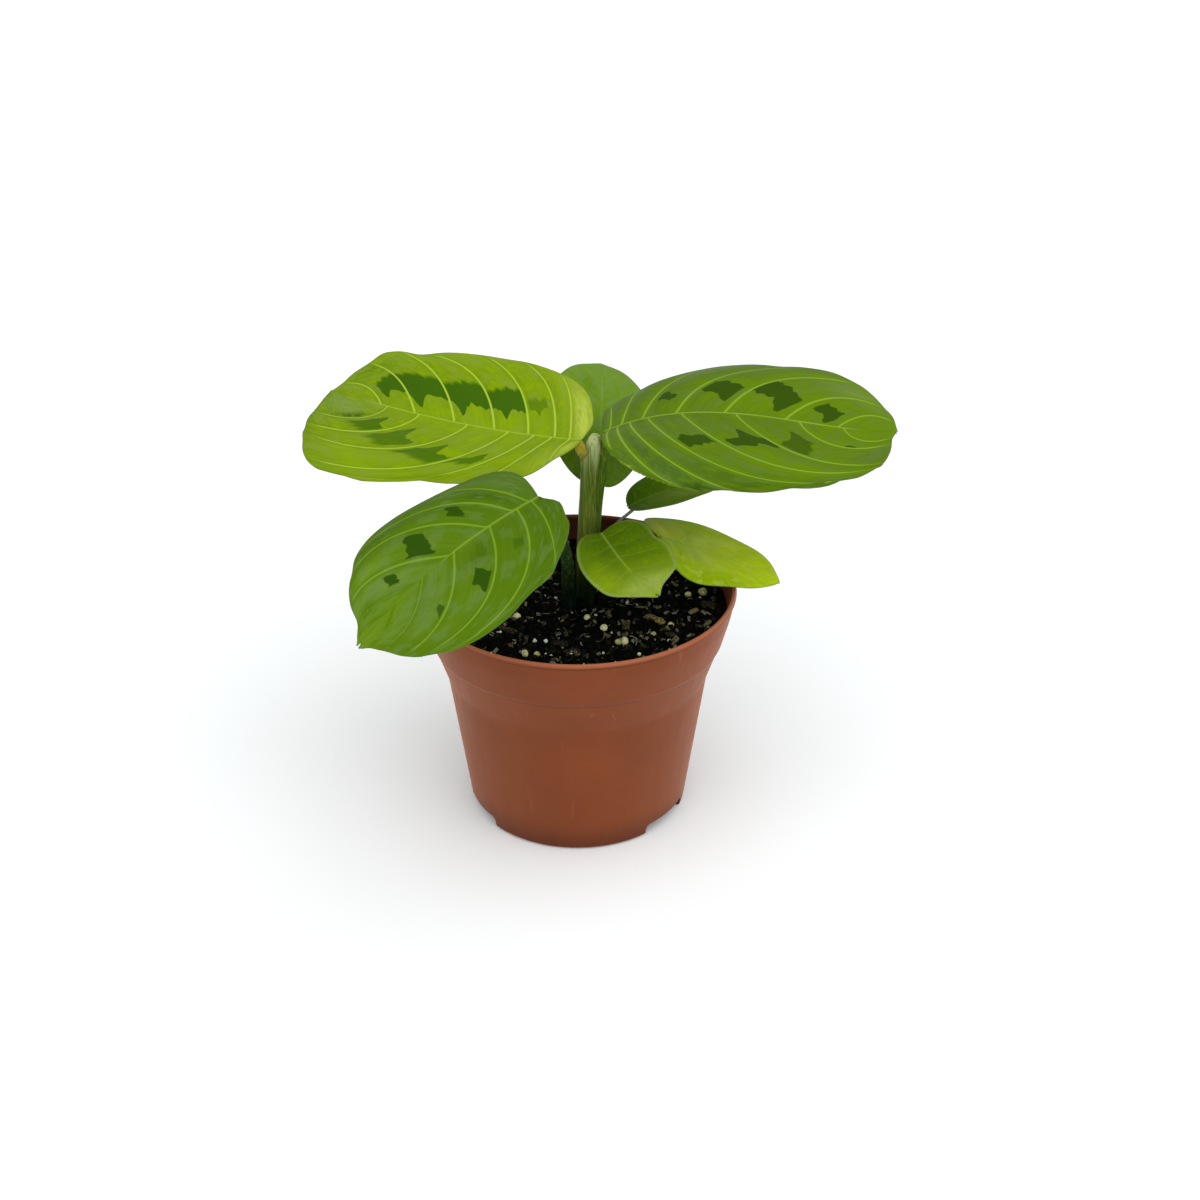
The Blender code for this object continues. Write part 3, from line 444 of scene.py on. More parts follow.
def leaf_upper(name, leaf, look):
    """Living leaf, waxy upper side: a soft satin gloss over fine veinlets that run beside the
    side veins, pale raised veins and dark blotches with feathered ends."""
    surface, add, place = new_material(f"Waxy leaf {name}")
    field, vein, rib, blotch, tint, edge = (
        add("ShaderNodeAttribute", attribute_name=label)
        for label in ("field", "vein", "rib", "blotch", "tint", "edge")
    )
    along = add("ShaderNodeUVMap", uv_map="veins")
    veinlets, islands = (
        add("ShaderNodeTexNoise",
            {"Vector": add("ShaderNodeMapping", {"Vector": along, "Scale": repeats}), "Scale": 1.0,
             "Detail": detail, "Roughness": roughness})
        for repeats, detail, roughness in ((VEINLETS, 4.0, 0.65), (ISLANDS, 2.5, 0.5))
    )
    # The skin's cells, drawn about 1 mm wide because the real ones are too fine to show
    grain = add("ShaderNodeTexNoise",
                {"Vector": place, "Scale": scale_of(1.11), "Detail": 2.0, "Roughness": 0.5})
    # The veinlets feather the blotches' ends
    inside = add("ShaderNodeMath", {0: blotch, 1: veinlets}, operation="ADD")
    colour = painted(
        add, shaded(add, out(field, "Color"), veinlets, 0.90, 1.09),
        # Bands along the veins: a tint, and on the left leaf painted shade of the hollows beside them
        (vein, 7.0, 1.5, leaf.beside[1], leaf.beside[0]),
        (islands, 0.49, 0.64, min(1.0, 0.70 * leaf.mottle), leaf.cool),
        (islands, 0.50, 0.34, min(1.0, 0.60 * leaf.mottle), leaf.warm),
        (inside, 0.25, 0.88, tint, leaf.dark),
        (vein, 1.25, 0.35, leaf.show[0], leaf.vein),
        (rib, 1.25, 0.35, leaf.show[1], leaf.vein),
        # Painted shade: a thin grey-dark line along the margin
        (edge, 0.55, 0.10, 0.50, "5A6440"),
    )
    rough = add("ShaderNodeMapRange", {"Value": grain, **NOISE, "To Min": look.gloss - 0.05,
                                       "To Max": look.gloss + 0.07})
    height = add("ShaderNodeMath", {0: veinlets, 1: 2.0, 2: grain}, operation="MULTIPLY_ADD")
    return coated(surface, add, height, 0.35, 0.08, Base_Color=colour, Roughness=rough, IOR=1.45,
                  Specular_IOR_Level=look.shine)


def leaf_under(name, look):
    """Living leaf, matt underside: paler and greyer than above, dull, with pale ribs that stand
    out."""
    surface, add, place = new_material(f"Matt leaf underside {name}")
    field, vein, rib = (
        add("ShaderNodeAttribute", attribute_name=label) for label in ("field", "vein", "rib")
    )
    cells = add("ShaderNodeTexNoise",
                {"Vector": place, "Scale": scale_of(2.38), "Detail": 3.0, "Roughness": 0.6})
    # The first coat is an even grey-green bloom, since noise is always past its full mark
    colour = painted(
        add, shaded(add, out(field, "Color"), cells, 0.88, 1.08),
        (cells, -1.0, -0.5, 0.5, "7F9068"), (vein, 2.0, 0.6, 0.5, "A2B07A"), (rib, 2.0, 0.6, 0.7, "A8B480"),
    )
    return coated(surface, add, cells, 0.3, 0.1, Base_Color=colour, Roughness=0.62, IOR=1.45,
                  Specular_IOR_Level=look.shine)


def stalk_skin(name, shades):
    """Living leaf stalk: lengthwise ribs, painted shade near the soil, with a tan swollen joint."""
    surface, add, place = new_material(f"Ribbed leaf stalk {name}")
    rise, joint = (add("ShaderNodeAttribute", attribute_name=label) for label in ("rise", "joint"))
    # Ribs about 0.5 mm apart and bands about 1.6 mm wide, drawn out some 40 times up the stalk
    upright = add("ShaderNodeMapping", {"Vector": place, "Scale": (1.0, 1.0, 0.024)})
    ribs, bands = (
        add("ShaderNodeTexNoise",
            {"Vector": upright, "Scale": scale_of(size), "Detail": detail, "Roughness": roughness})
        for size, detail, roughness in ((0.526, 2.0, 0.55), (1.61, 1.0, 0.5))
    )
    low, middle, high = shades
    colour = painted(
        add, linear(low), (rise, 0.10, 0.60, 1.0, middle), (rise, 0.78, 1.0, 1.0, high),
        (bands, 0.52, 0.36, 0.50, middle), (ribs, 0.50, 0.34, 0.50, "243806"),
        (bands, 0.54, 0.68, 0.30, high), (ribs, 0.53, 0.68, 0.35, "8A9048"),
        (joint, 0.0, 1.0, 0.8, "A48E16"),
    )
    # Painted shade: the darkest shade again near the soil, under the leaves
    colour = painted(add, colour, (rise, 0.40, 0.08, 0.92, low))
    return coated(surface, add, ribs, 0.5, 0.15, Base_Color=colour, Roughness=0.5, IOR=1.45,
                  Specular_IOR_Level=0.08)


def moulded_plastic(look):
    """Polypropylene, injection-moulded: an even terracotta brown with a waxy satin gloss, faint
    flow clouds, a fine orange-peel skin, a few scuffs, peat dust and painted shade on the inside,
    painted shade and a painted highlight on the lip, and a painted shadow at the band's edge."""
    surface, add, place = new_material("Moulded terracotta polypropylene")
    inside = add("ShaderNodeAttribute", attribute_name="inside")
    level = add("ShaderNodeSeparateXYZ", {"Vector": place})
    height, top = out(level, "Z"), look.height
    seam, groove = (
        add("ShaderNodeMath", {0: add("ShaderNodeMath", {0: height, 1: -line}, operation="ADD")},
            operation="ABSOLUTE")
        for line in (look.band_height, top - 2.2 * MM)
    )
    # Painted shade on the far stretch of the lip, at the back of the pot
    lip = add("ShaderNodeMapRange",
              {"Value": height, "From Min": top - 2.8 * MM, "From Max": top - 2.0 * MM})
    painted_shade_far_lip = add("ShaderNodeMath", {0: out(level, "Y"), 1: lip}, operation="MULTIPLY")
    # Flow clouds about 26 mm wide, and orange peel at its real 0.7 mm
    clouds, peel = (
        add("ShaderNodeTexNoise",
            {"Vector": place, "Scale": scale_of(size), "Detail": detail, "Roughness": 0.5})
        for size, detail in ((26.3, 3.0), (0.714, 2.0))
    )
    # Scuffs about 4 mm wide and 70 mm long
    upright = add("ShaderNodeMapping",
                  {"Vector": place, "Scale": tuple(scale_of(size) for size in (3.85, 3.85, 71.4))})
    scuffs = add("ShaderNodeTexNoise", {"Vector": upright, "Scale": 1.0, "Detail": 4.0, "Roughness": 0.65})
    # Scuffs, a painted highlight on the top of the lip, painted shadows at the band's edge and in
    # the groove under the lip, darker towards the foot, painted shade on the far stretch of the lip,
    # and peat dust with painted shade on the inside
    colour = painted(
        add, shaded(add, (*look.colour, 1.0), clouds, 0.92, 1.07),
        (scuffs, 0.60, 0.74, 0.12, "B98268"), (height, top - 1.8 * MM, top - 0.6 * MM, 0.60, "A86444"),
        (seam, 0.9 * MM, 0.3 * MM, 0.60, "4A200E"), (groove, 0.6 * MM, 0.2 * MM, 0.50, "3E180A"),
        (height, 14.0 * MM, 0.0, 0.62, "3E180A"), (painted_shade_far_lip, 40.0 * MM, 52.0 * MM, 0.65, "34140A"),
        (inside, 0.04, 0.35, 0.85, "3A120A"),
    )
    rough = add("ShaderNodeMapRange", {"Value": scuffs, **NOISE, "To Min": 0.40, "To Max": 0.52})
    return coated(surface, add, peel, 0.12, 0.06, Base_Color=colour, Roughness=rough, IOR=1.49,
                  Specular_IOR_Level=0.15, Sheen_Weight=0.40, Sheen_Roughness=0.45,
                  Sheen_Tint=linear("C8805A"))


def crumbled(name, shades, patch, rough, relief, gloss=0.2, variety=0.0):
    """A broken natural stuff in three shades, with the size of its patches and the depth of its
    relief in mm. variety is how much one bit differs from the next."""
    surface, add, place = new_material(name)
    tone = add("ShaderNodeAttribute", attribute_name="tone")
    patchy = add("ShaderNodeTexNoise",
                 {"Vector": place, "Scale": scale_of(patch), "Detail": 5.0, "Roughness": 0.65})
    shade = add("ShaderNodeMath", {0: tone, 1: variety, 2: patchy}, operation="MULTIPLY_ADD")
    low, middle, high = (variety / 2 + share for share in (0.34, 0.54, 0.74))
    colour = painted(add, linear(shades[0]), (shade, low, middle, 1.0, shades[1]),
                     (shade, middle, high, 1.0, shades[2]))
    return coated(surface, add, patchy, 0.6, relief, Base_Color=colour, Roughness=rough,
                  Specular_IOR_Level=gloss)


def seamless_paper(look):
    """Studio paper, matt white, with a faint tooth that is drawn coarser than the real one."""
    surface, add, place = new_material("Matt studio paper")
    tooth = add("ShaderNodeTexNoise", {"Vector": place, "Scale": scale_of(1.11), "Detail": 2.0})
    return coated(surface, add, tooth, 0.05, 0.05, Base_Color=(*look.floor_colour, 1.0), Roughness=0.9,
                  Specular_IOR_Level=0.0)


# Mesh helpers

# Points closer than this are one
MERGE = 0.002 * MM


def new_object(name, points, edges, faces):
    """A linked object at the origin."""
    mesh = bpy.data.meshes.new(name)
    mesh.from_pydata([tuple(p) for p in points], edges, faces)
    made = bpy.data.objects.new(name, mesh)
    bpy.context.scene.collection.objects.link(made)
    return made


def object_from(shape, name):
    """An object from a bmesh, which is freed."""
    made = new_object(name, [], [], [])
    shape.to_mesh(made.data)
    shape.free()
    return made


def bake(source):
    """Leaves a plain mesh in place of the object's modifiers."""
    bpy.context.view_layer.update()
    graph = bpy.context.evaluated_depsgraph_get()
    mesh = bpy.data.meshes.new_from_object(
        source.evaluated_get(graph), preserve_all_data_layers=True, depsgraph=graph
    )
    source.modifiers.clear()
    source.data = mesh


def grow(source, tree, values):
    """Runs a node tree on an object once: the result is a plain mesh with no modifier left."""
    modifier = source.modifiers.new(tree.name, "NODES")
    modifier.node_group = tree
    sockets = {s.name: s.identifier for s in tree.interface.items_tree if s.in_out == "INPUT"}
    for name, value in values.items():
        modifier[sockets[name]] = value
    bake(source)


def facing_out(mesh, merge=0.0):
    """Turns the faces outwards, after points closer than a distance are merged."""
    shape = bmesh.new()
    shape.from_mesh(mesh)
    if merge:
        bmesh.ops.remove_doubles(shape, verts=shape.verts, dist=merge)
    bmesh.ops.recalc_face_normals(shape, faces=shape.faces)
    shape.to_mesh(mesh)
    shape.free()


def smooth_faces(mesh, angle):
    """Smooth shading, but for edges sharper than an angle in degrees."""
    mesh.shade_smooth()
    mesh.set_sharp_from_angle(angle=math.radians(angle))


def set_values(mesh, name, values, kind="FLOAT"):
    """Stores a value or a colour for each point."""
    attribute = mesh.attributes.new(name, kind, "POINT")
    attribute.data.foreach_set("value" if kind == "FLOAT" else "color", np.ravel(values))


def dress(piece, node, *surfaces):
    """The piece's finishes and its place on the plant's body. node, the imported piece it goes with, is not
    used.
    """
    piece.data.materials.clear()
    for surface in surfaces:
        piece.data.materials.append(surface)
    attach(piece, BODY)


# Node trees


def new_tree(name, *sockets):
    """A geometry tree with its named inputs, (name, socket type, default); the call that adds a
    node to it; and the call that gives an input by its name."""
    tree = bpy.data.node_groups.new(name, "GeometryNodeTree")
    tree.interface.new_socket(name="Geometry", in_out="OUTPUT", socket_type="NodeSocketGeometry")
    for label, kind, default in (("Geometry", "Geometry", None), *sockets, ("Material", "Material", None)):
        socket = tree.interface.new_socket(name=label, in_out="INPUT", socket_type=f"NodeSocket{kind}")
        if default is not None:
            socket.default_value = default
    add = partial(add_node, tree)
    start = add("NodeGroupInput")
    return tree, add, partial(out, start)


def close_tree(tree, geometry, given):
    """Ends a tree in real geometry with its material."""
    real = add_node(tree, "GeometryNodeRealizeInstances", {"Geometry": geometry})
    made = add_node(tree, "GeometryNodeSetMaterial", {"Geometry": real, "Material": given("Material")})
    add_node(tree, "NodeGroupOutput", {"Geometry": made})
    return tree


def turning_tree():
    """Turns a profile, given as a row of points in the XZ plane, round the Z axis."""
    tree, add, given = new_tree("Turn profile", ("Sides", "Int", 180))
    size = add("GeometryNodeAttributeDomainSize", {"Geometry": given("Geometry")}, component="MESH")
    count = out(size, "Point Count")
    columns = add("ShaderNodeMath", {0: given("Sides"), 1: 1.0}, operation="ADD")
    grid = add("GeometryNodeMeshGrid", {"Vertices X": columns, "Vertices Y": count})
    index = add("GeometryNodeInputIndex")
    row = add("ShaderNodeMath", {0: index, 1: count}, operation="MODULO")
    column = add("ShaderNodeMath", {0: index, 1: count}, operation="DIVIDE")
    column = add("ShaderNodeMath", {0: column}, operation="FLOOR")
    point = add(
        "GeometryNodeSampleIndex",
        {"Geometry": given("Geometry"), "Value": add("GeometryNodeInputPosition"), "Index": row},
        data_type="FLOAT_VECTOR", domain="POINT",
    )
    share = add("ShaderNodeMath", {0: column, 1: given("Sides")}, operation="DIVIDE")
    angle = add("ShaderNodeMath", {0: share, 1: 2 * math.pi}, operation="MULTIPLY")
    turned = add("ShaderNodeVectorRotate", {"Vector": point, "Axis": (0.0, 0.0, 1.0), "Angle": angle},
                 rotation_type="AXIS_ANGLE")
    placed = add("GeometryNodeSetPosition", {"Geometry": out(grid, "Mesh"), "Position": turned})
    closed = add("GeometryNodeMergeByDistance", {"Geometry": placed, "Distance": MERGE})
    return close_tree(tree, closed, given)


def sweeping_tree():
    """Sweeps a ribbed stalk along a row of points that carry the radius at each."""
    tree, add, given = new_tree(
        "Sweep stalk", ("Sides", "Int", 40), ("Rib depth", "Float", 0.12 * MM),
        ("Ribs per metre", "Float", 900.0),
    )
    route = add("GeometryNodeMeshToCurve", {"Mesh": given("Geometry")})
    width = out(add("GeometryNodeInputNamedAttribute", {"Name": "radius"}, data_type="FLOAT"), "Attribute")
    route = add("GeometryNodeSetCurveRadius", {"Curve": route, "Radius": width})
    ring = add("GeometryNodeCurvePrimitiveCircle", {"Resolution": given("Sides"), "Radius": 1.0})
    sweep = add("GeometryNodeCurveToMesh",
                {"Curve": route, "Profile Curve": out(ring, "Curve"), "Fill Caps": True})
    for scale in [s for s in sweep.inputs if s.name == "Scale"]:
        tree.links.new(width, scale)
    stretch = add("ShaderNodeVectorMath", {0: add("GeometryNodeInputPosition"), 1: (1.0, 1.0, 0.02)},
                  operation="MULTIPLY")
    ribs = add("ShaderNodeTexNoise", {"Vector": stretch, "Scale": given("Ribs per metre"), "Detail": 1.0})
    depth = add("ShaderNodeMath", {0: ribs, 1: -0.5}, operation="ADD")
    depth = add("ShaderNodeMath", {0: depth, 1: given("Rib depth")}, operation="MULTIPLY")
    push = add("ShaderNodeVectorMath", {0: add("GeometryNodeInputNormal"), "Scale": depth}, operation="SCALE")
    return close_tree(tree, add("GeometryNodeSetPosition", {"Geometry": sweep, "Offset": push}), given)


def block_shape(add, size, cuts):
    """A lump or chip: a cut-up block that the strewing dents."""
    counts = dict(zip(("Vertices X", "Vertices Y", "Vertices Z"), cuts))
    return out(add("GeometryNodeMeshCube", {"Size": size, **counts}), "Mesh")


def fibre_shape(add):
    """A thin strand bent in a bow."""
    bow = add("GeometryNodeCurveArc",
              {"Resolution": 9, "Radius": 1.0, "Start Angle": 0.4, "Sweep Angle": 2.2}, mode="RADIUS")
    ring = add("GeometryNodeCurvePrimitiveCircle", {"Resolution": 4, "Radius": 0.055})
    tube = add("GeometryNodeCurveToMesh",
               {"Curve": out(bow, "Curve"), "Profile Curve": out(ring, "Curve"), "Fill Caps": True})
    return out(tube, "Mesh")


def scattering_tree(name, shape):
    """Strews one kind of bit over a surface, each turned, sized, toned and dented in its own way."""
    tree, add, given = new_tree(
        name, ("Density", "Float", 100.0), ("Smallest", "Float", 0.5 * MM), ("Largest", "Float", 1.0 * MM),
        ("Tilt", "Float", 3.0), ("Sink", "Float", 0.3), ("Dent", "Float", 0.3 * MM),
        ("Dent size", "Float", 1.5 * MM), ("Seed", "Int", 1),
    )
    free = add("GeometryNodeInputNamedAttribute", {"Name": "free"}, data_type="FLOAT")
    density = add("ShaderNodeMath", {0: given("Density"), 1: free}, operation="MULTIPLY")
    points = add("GeometryNodeDistributePointsOnFaces",
                 {"Mesh": given("Geometry"), "Density": density, "Seed": given("Seed")})
    tone = add("FunctionNodeRandomValue", {"Seed": given("Seed")}, data_type="FLOAT")
    points = add("GeometryNodeStoreNamedAttribute",
                 {"Geometry": out(points, "Points"), "Name": "tone", "Value": tone}, data_type="FLOAT")
    tilt = add("ShaderNodeMath", {0: given("Tilt"), 1: -1.0}, operation="MULTIPLY")
    least = add("ShaderNodeCombineXYZ", {"X": tilt, "Y": tilt, "Z": 0.0})
    most = add("ShaderNodeCombineXYZ", {"X": given("Tilt"), "Y": given("Tilt"), "Z": 2 * math.pi})
    turn = add("FunctionNodeRandomValue", {"Min": least, "Max": most, "Seed": given("Seed")},
               data_type="FLOAT_VECTOR")
    size = add("FunctionNodeRandomValue",
               {"Min": given("Smallest"), "Max": given("Largest"), "Seed": given("Seed")}, data_type="FLOAT")
    bits = add("GeometryNodeInstanceOnPoints",
               {"Points": points, "Instance": shape(add), "Rotation": turn, "Scale": size})
    real = add("GeometryNodeRealizeInstances", {"Geometry": bits})
    fineness = add("ShaderNodeMath", {0: 1.0, 1: given("Dent size")}, operation="DIVIDE")
    dents = add("ShaderNodeTexNoise",
                {"Vector": add("GeometryNodeInputPosition"), "Scale": fineness, "Detail": 2.0})
    centred = add("ShaderNodeVectorMath", {0: out(dents, "Color"), 1: (0.5, 0.5, 0.5)}, operation="SUBTRACT")
    twice = add("ShaderNodeMath", {0: given("Dent"), 1: 2.0}, operation="MULTIPLY")
    push = add("ShaderNodeVectorMath", {0: centred, "Scale": twice}, operation="SCALE")
    sunk = add("ShaderNodeMath", {0: given("Sink"), 1: -1.0 * MM}, operation="MULTIPLY")
    lower = add("ShaderNodeCombineXYZ", {"Z": sunk})
    push = add("ShaderNodeVectorMath", {0: push, 1: lower}, operation="ADD")
    return close_tree(tree, add("GeometryNodeSetPosition", {"Geometry": real, "Offset": push}), given)


# Leaf blades

# What counts as far outside every blotch, in mm
OUTSIDE = -4.0
# Where the grid's columns stand beside the midrib, as shares of the veins' length, and its rows
# beside a vein, as shares of the gap
BESIDE_RIB = (0.0, 0.008, 0.018, 0.03, 0.045, 0.065, 0.09)
BESIDE_VEIN = (0.0, 0.03, 0.07, 0.12, 0.18)


def of_side(pair, side):
    """What belongs to the left or the right half, of a pair."""
    return pair[1] if side == RIGHT else pair[0]


def row_starts(veins):
    """Shares of the midrib where a half's grid begins, its side veins start and its grid ends."""
    return [0.0, *(start for start, _ in veins), LAST_ROW]


def midrib(leaf):
    """Along the midrib from a little before the base to a little past the tip: the share of its
    length, and the middle, the way to the right, up and ahead there."""
    share = np.linspace(-0.2, 1.2, 281)
    step = (share[1] - share[0]) * leaf.length * MM
    pitch = np.radians(leaf.rise - leaf.droop * share + leaf.dip * share**2)
    compass = np.radians(leaf.heading + leaf.turn * share)
    tilt = np.radians(leaf.roll + leaf.twist * share)[:, None]
    flat = np.zeros_like(share)
    level = np.stack([np.cos(compass), np.sin(compass), flat], 1)
    ahead = level * np.cos(pitch)[:, None] + np.stack([flat, flat, np.sin(pitch)], 1)
    right = np.stack([level[:, 1], -level[:, 0], flat], 1)
    over = np.cross(right, ahead)
    steps = (ahead[1:] + ahead[:-1]) * 0.5 * step
    centre = np.concatenate([np.zeros((1, 3)), np.cumsum(steps, 0)])
    start = np.array([np.interp(0.0, share, centre[:, i]) for i in range(3)])
    centre = centre - start + np.array(leaf.base) * MM
    side = right * np.cos(tilt) + over * np.sin(tilt)
    up = over * np.cos(tilt) - right * np.sin(tilt)
    return share, centre, side, up, ahead


def on_midrib(leaf, spine, x, which):
    """One of the midrib's rows of values, at distances x along it."""
    place = x / (leaf.length * MM)
    return np.stack([np.interp(place, spine[0], spine[which][:, i]) for i in range(3)], -1)


def bent(leaf, spine, x, y, lift):
    """Flat blade points carried onto the curved, folded blade."""
    half = leaf.width * MM / 2
    fold = np.radians(np.where(y > 0, leaf.fold[1], leaf.fold[0]))
    curl = np.radians(np.where(y > 0, leaf.arch[1], leaf.arch[0])) / half
    reach = np.abs(y)
    outward = (np.sin(fold) - np.sin(fold - curl * reach)) / curl
    rise = (np.cos(fold - curl * reach) - np.cos(fold)) / curl
    # The crease at the midrib is soft, and softer towards the tip
    soft = (0.8 + 3.2 * np.clip(x / (leaf.length * MM), 0, 1)) * MM
    rise = rise + math.sin(math.radians(sum(leaf.fold) / 2)) * soft * np.exp(-reach / soft)
    middle, side, up = (on_midrib(leaf, spine, x, which) for which in (1, 2, 3))
    return middle + side * (np.sign(y) * outward)[..., None] + up * (rise + lift)[..., None]


def margin(leaf, angle, side):
    """The flat outline: the angle runs from 0 at the base to pi at the tip."""
    length, half = leaf.length * MM, leaf.width * MM / 2
    lobe = of_side(leaf.lobe, side) * np.sin(angle) * ((1 + np.cos(angle)) / 2) ** 2
    # The short point at the tip
    nib = 0.02 * np.exp(-(((np.pi - angle) / 0.18) ** 2))
    swell = 1 + (leaf.egg + side * leaf.skew) * np.cos(angle) + leaf.full * np.cos(angle) ** 2
    x = length * ((1 - np.cos(angle)) / 2 - lobe + nib)
    y = half * np.sin(angle) * swell * (1 + side * leaf.lean)
    out_x, out_y = -2 * half * np.cos(angle), length * np.sin(angle)
    for place, spread, depth in of_side(leaf.ripple, side):
        reach = depth * MM * np.exp(-(((np.degrees(angle) - place) / spread) ** 2)) / np.hypot(out_x, out_y)
        x, y = x + reach * out_x, y + reach * out_y
    return x, y


def half_blade(leaf, side, starts, across):
    """Flat x and y of one half's grid, and the vein number of each of its rows. A row is a curve
    that leaves the midrib at its own angle and ends on the margin."""
    veins = of_side(leaf.veins, side)
    numbers = np.arange(len(veins) + 2)
    angles = [0.0, *(end for _, end in veins), 180.0]
    vein = np.interp(starts, row_starts(veins), numbers)
    end_x, end_y = margin(leaf, np.radians(np.interp(vein, numbers, angles)), side)
    # A half is at least 1.2 mm wide at the base and 0.4 mm at the tip
    end_y = np.maximum(end_y, 1.2 * MM * (1 - starts) + 0.4 * MM * starts)
    start_x = starts * leaf.length * MM
    near, far = of_side(leaf.leave, side)
    leave = np.radians(near + (far - near) * starts)
    near, far = of_side(leaf.reach, side)
    reach = (far + (near - far) * np.exp(-starts / 0.15)) * np.hypot(end_x - start_x, end_y)
    bow_x, bow_y = start_x + reach * np.cos(leave), reach * np.sin(leave)
    t = across[None, :]
    keep, turn = (1 - t) ** 2, 2 * t * (1 - t)
    x = keep * start_x[:, None] + turn * bow_x[:, None] + t**2 * end_x[:, None]
    y = turn * bow_y[:, None] + t**2 * end_y[:, None]
    return x, side * y, np.broadcast_to(vein[:, None], x.shape)


def blade_rows(leaf, rows_per_gap):
    """Shares along the midrib where the grid's rows start: even in each gap, and close together
    beside each vein of either half."""
    inner = np.linspace(0.25, 0.75, rows_per_gap - 2 * len(BESIDE_VEIN))
    steps = np.concatenate([BESIDE_VEIN, inner, 1 - np.array(BESIDE_VEIN[1:])])
    wanted = [(0, LAST_ROW)]
    for veins in leaf.veins:
        shares = row_starts(veins)
        for low, high in zip(shares, shares[1:]):
            wanted += [(0 if step == 0 else 1, low + step * (high - low)) for step in steps]
    # Rows on a vein come first, and a row that would crowd one that is there is left out
    kept, too_near = [], 0.0012
    for _, share in sorted(wanted):
        if all(abs(share - other) > too_near for other in kept):
            kept.append(share)
    return np.array(sorted(kept))


def gap_width(x, y, vein):
    """How far apart the side veins are at each point of a half's grid, across their direction."""
    number = vein[:, 0]
    step_x, step_y = (np.gradient(flat, number, axis=0) for flat in (x, y))
    run_x, run_y = np.gradient(x, axis=1), np.gradient(y, axis=1)
    length = np.maximum(np.hypot(run_x, run_y), 1e-9)
    return np.abs(step_x * run_y - step_y * run_x) / length


def wander(values, seed):
    """A seeded wavy line between -1 and 1."""
    flat = [noise.noise(Vector((v, 3.7 * seed, 1.3))) * 1.6 for v in np.ravel(values)]
    return np.clip(np.array(flat).reshape(np.shape(values)), -1, 1)


def blotch_depth(leaf, side, vein, across, width, run):
    """How many mm each point lies inside the nearest dark blotch, below 0 when it lies outside, and
    how strong that blotch is."""
    depth, tint = np.full(vein.shape, OUTSIDE), np.ones(vein.shape)
    for number, blotch in enumerate(leaf.blotches):
        if blotch.side != side:
            continue
        share = vein - blotch.gap
        column = share[:, :1]
        place = np.clip((column - blotch.low) / (blotch.high - blotch.low), 0, 1)
        tooth = blotch.tooth[1] * np.exp(-(((column - blotch.tooth[0]) / 0.12) ** 2))
        near = blotch.near[0] + (blotch.near[1] - blotch.near[0]) * place - tooth
        far = blotch.far[0] + (blotch.far[1] - blotch.far[0]) * place
        uneven = np.minimum(1.0, 5.0 * (far - near))
        near = near + 0.018 * uneven * wander(12 * column, number)
        far = far + 0.03 * uneven * wander(8 * column, number + 40)
        edge = 0.03 * wander(9 * across + number, number + 80)
        # A blotch that comes this near to a vein goes right up to it
        low = blotch.low if blotch.low > 0.04 else -0.2
        high = blotch.high if blotch.high < 0.96 else 1.2
        beside = np.minimum(share - low - edge, high + edge - share) * width
        along = np.minimum(across - near, (far - across) / blotch.soft) * run
        here = np.where((share > 0.0) & (share < 1.0), np.minimum(beside, along) / MM, OUTSIDE)
        tint = np.where(here > depth, blotch.tint, tint)
        depth = np.maximum(depth, here)
    return depth, tint


def field_colour(leaf, side, start, vein, across):
    """The blade's greens and patches, some painted light and shade, without veins and blotches."""
    base, tip = (np.array(linear(c)) for c in leaf.field)
    share = np.clip(start, 0, 1)[:, None, None]
    colour = np.broadcast_to(base + (tip - base) * share, (*vein.shape, 4)).copy()
    for patch in leaf.patches:
        if patch.side in (side, BOTH):
            near = ((vein - patch.vein) / patch.wide) ** 2 + ((across - patch.share) / patch.long) ** 2
            colour += (np.array(linear(patch.colour)) - colour) * (patch.strength * np.exp(-near))[..., None]
    return colour


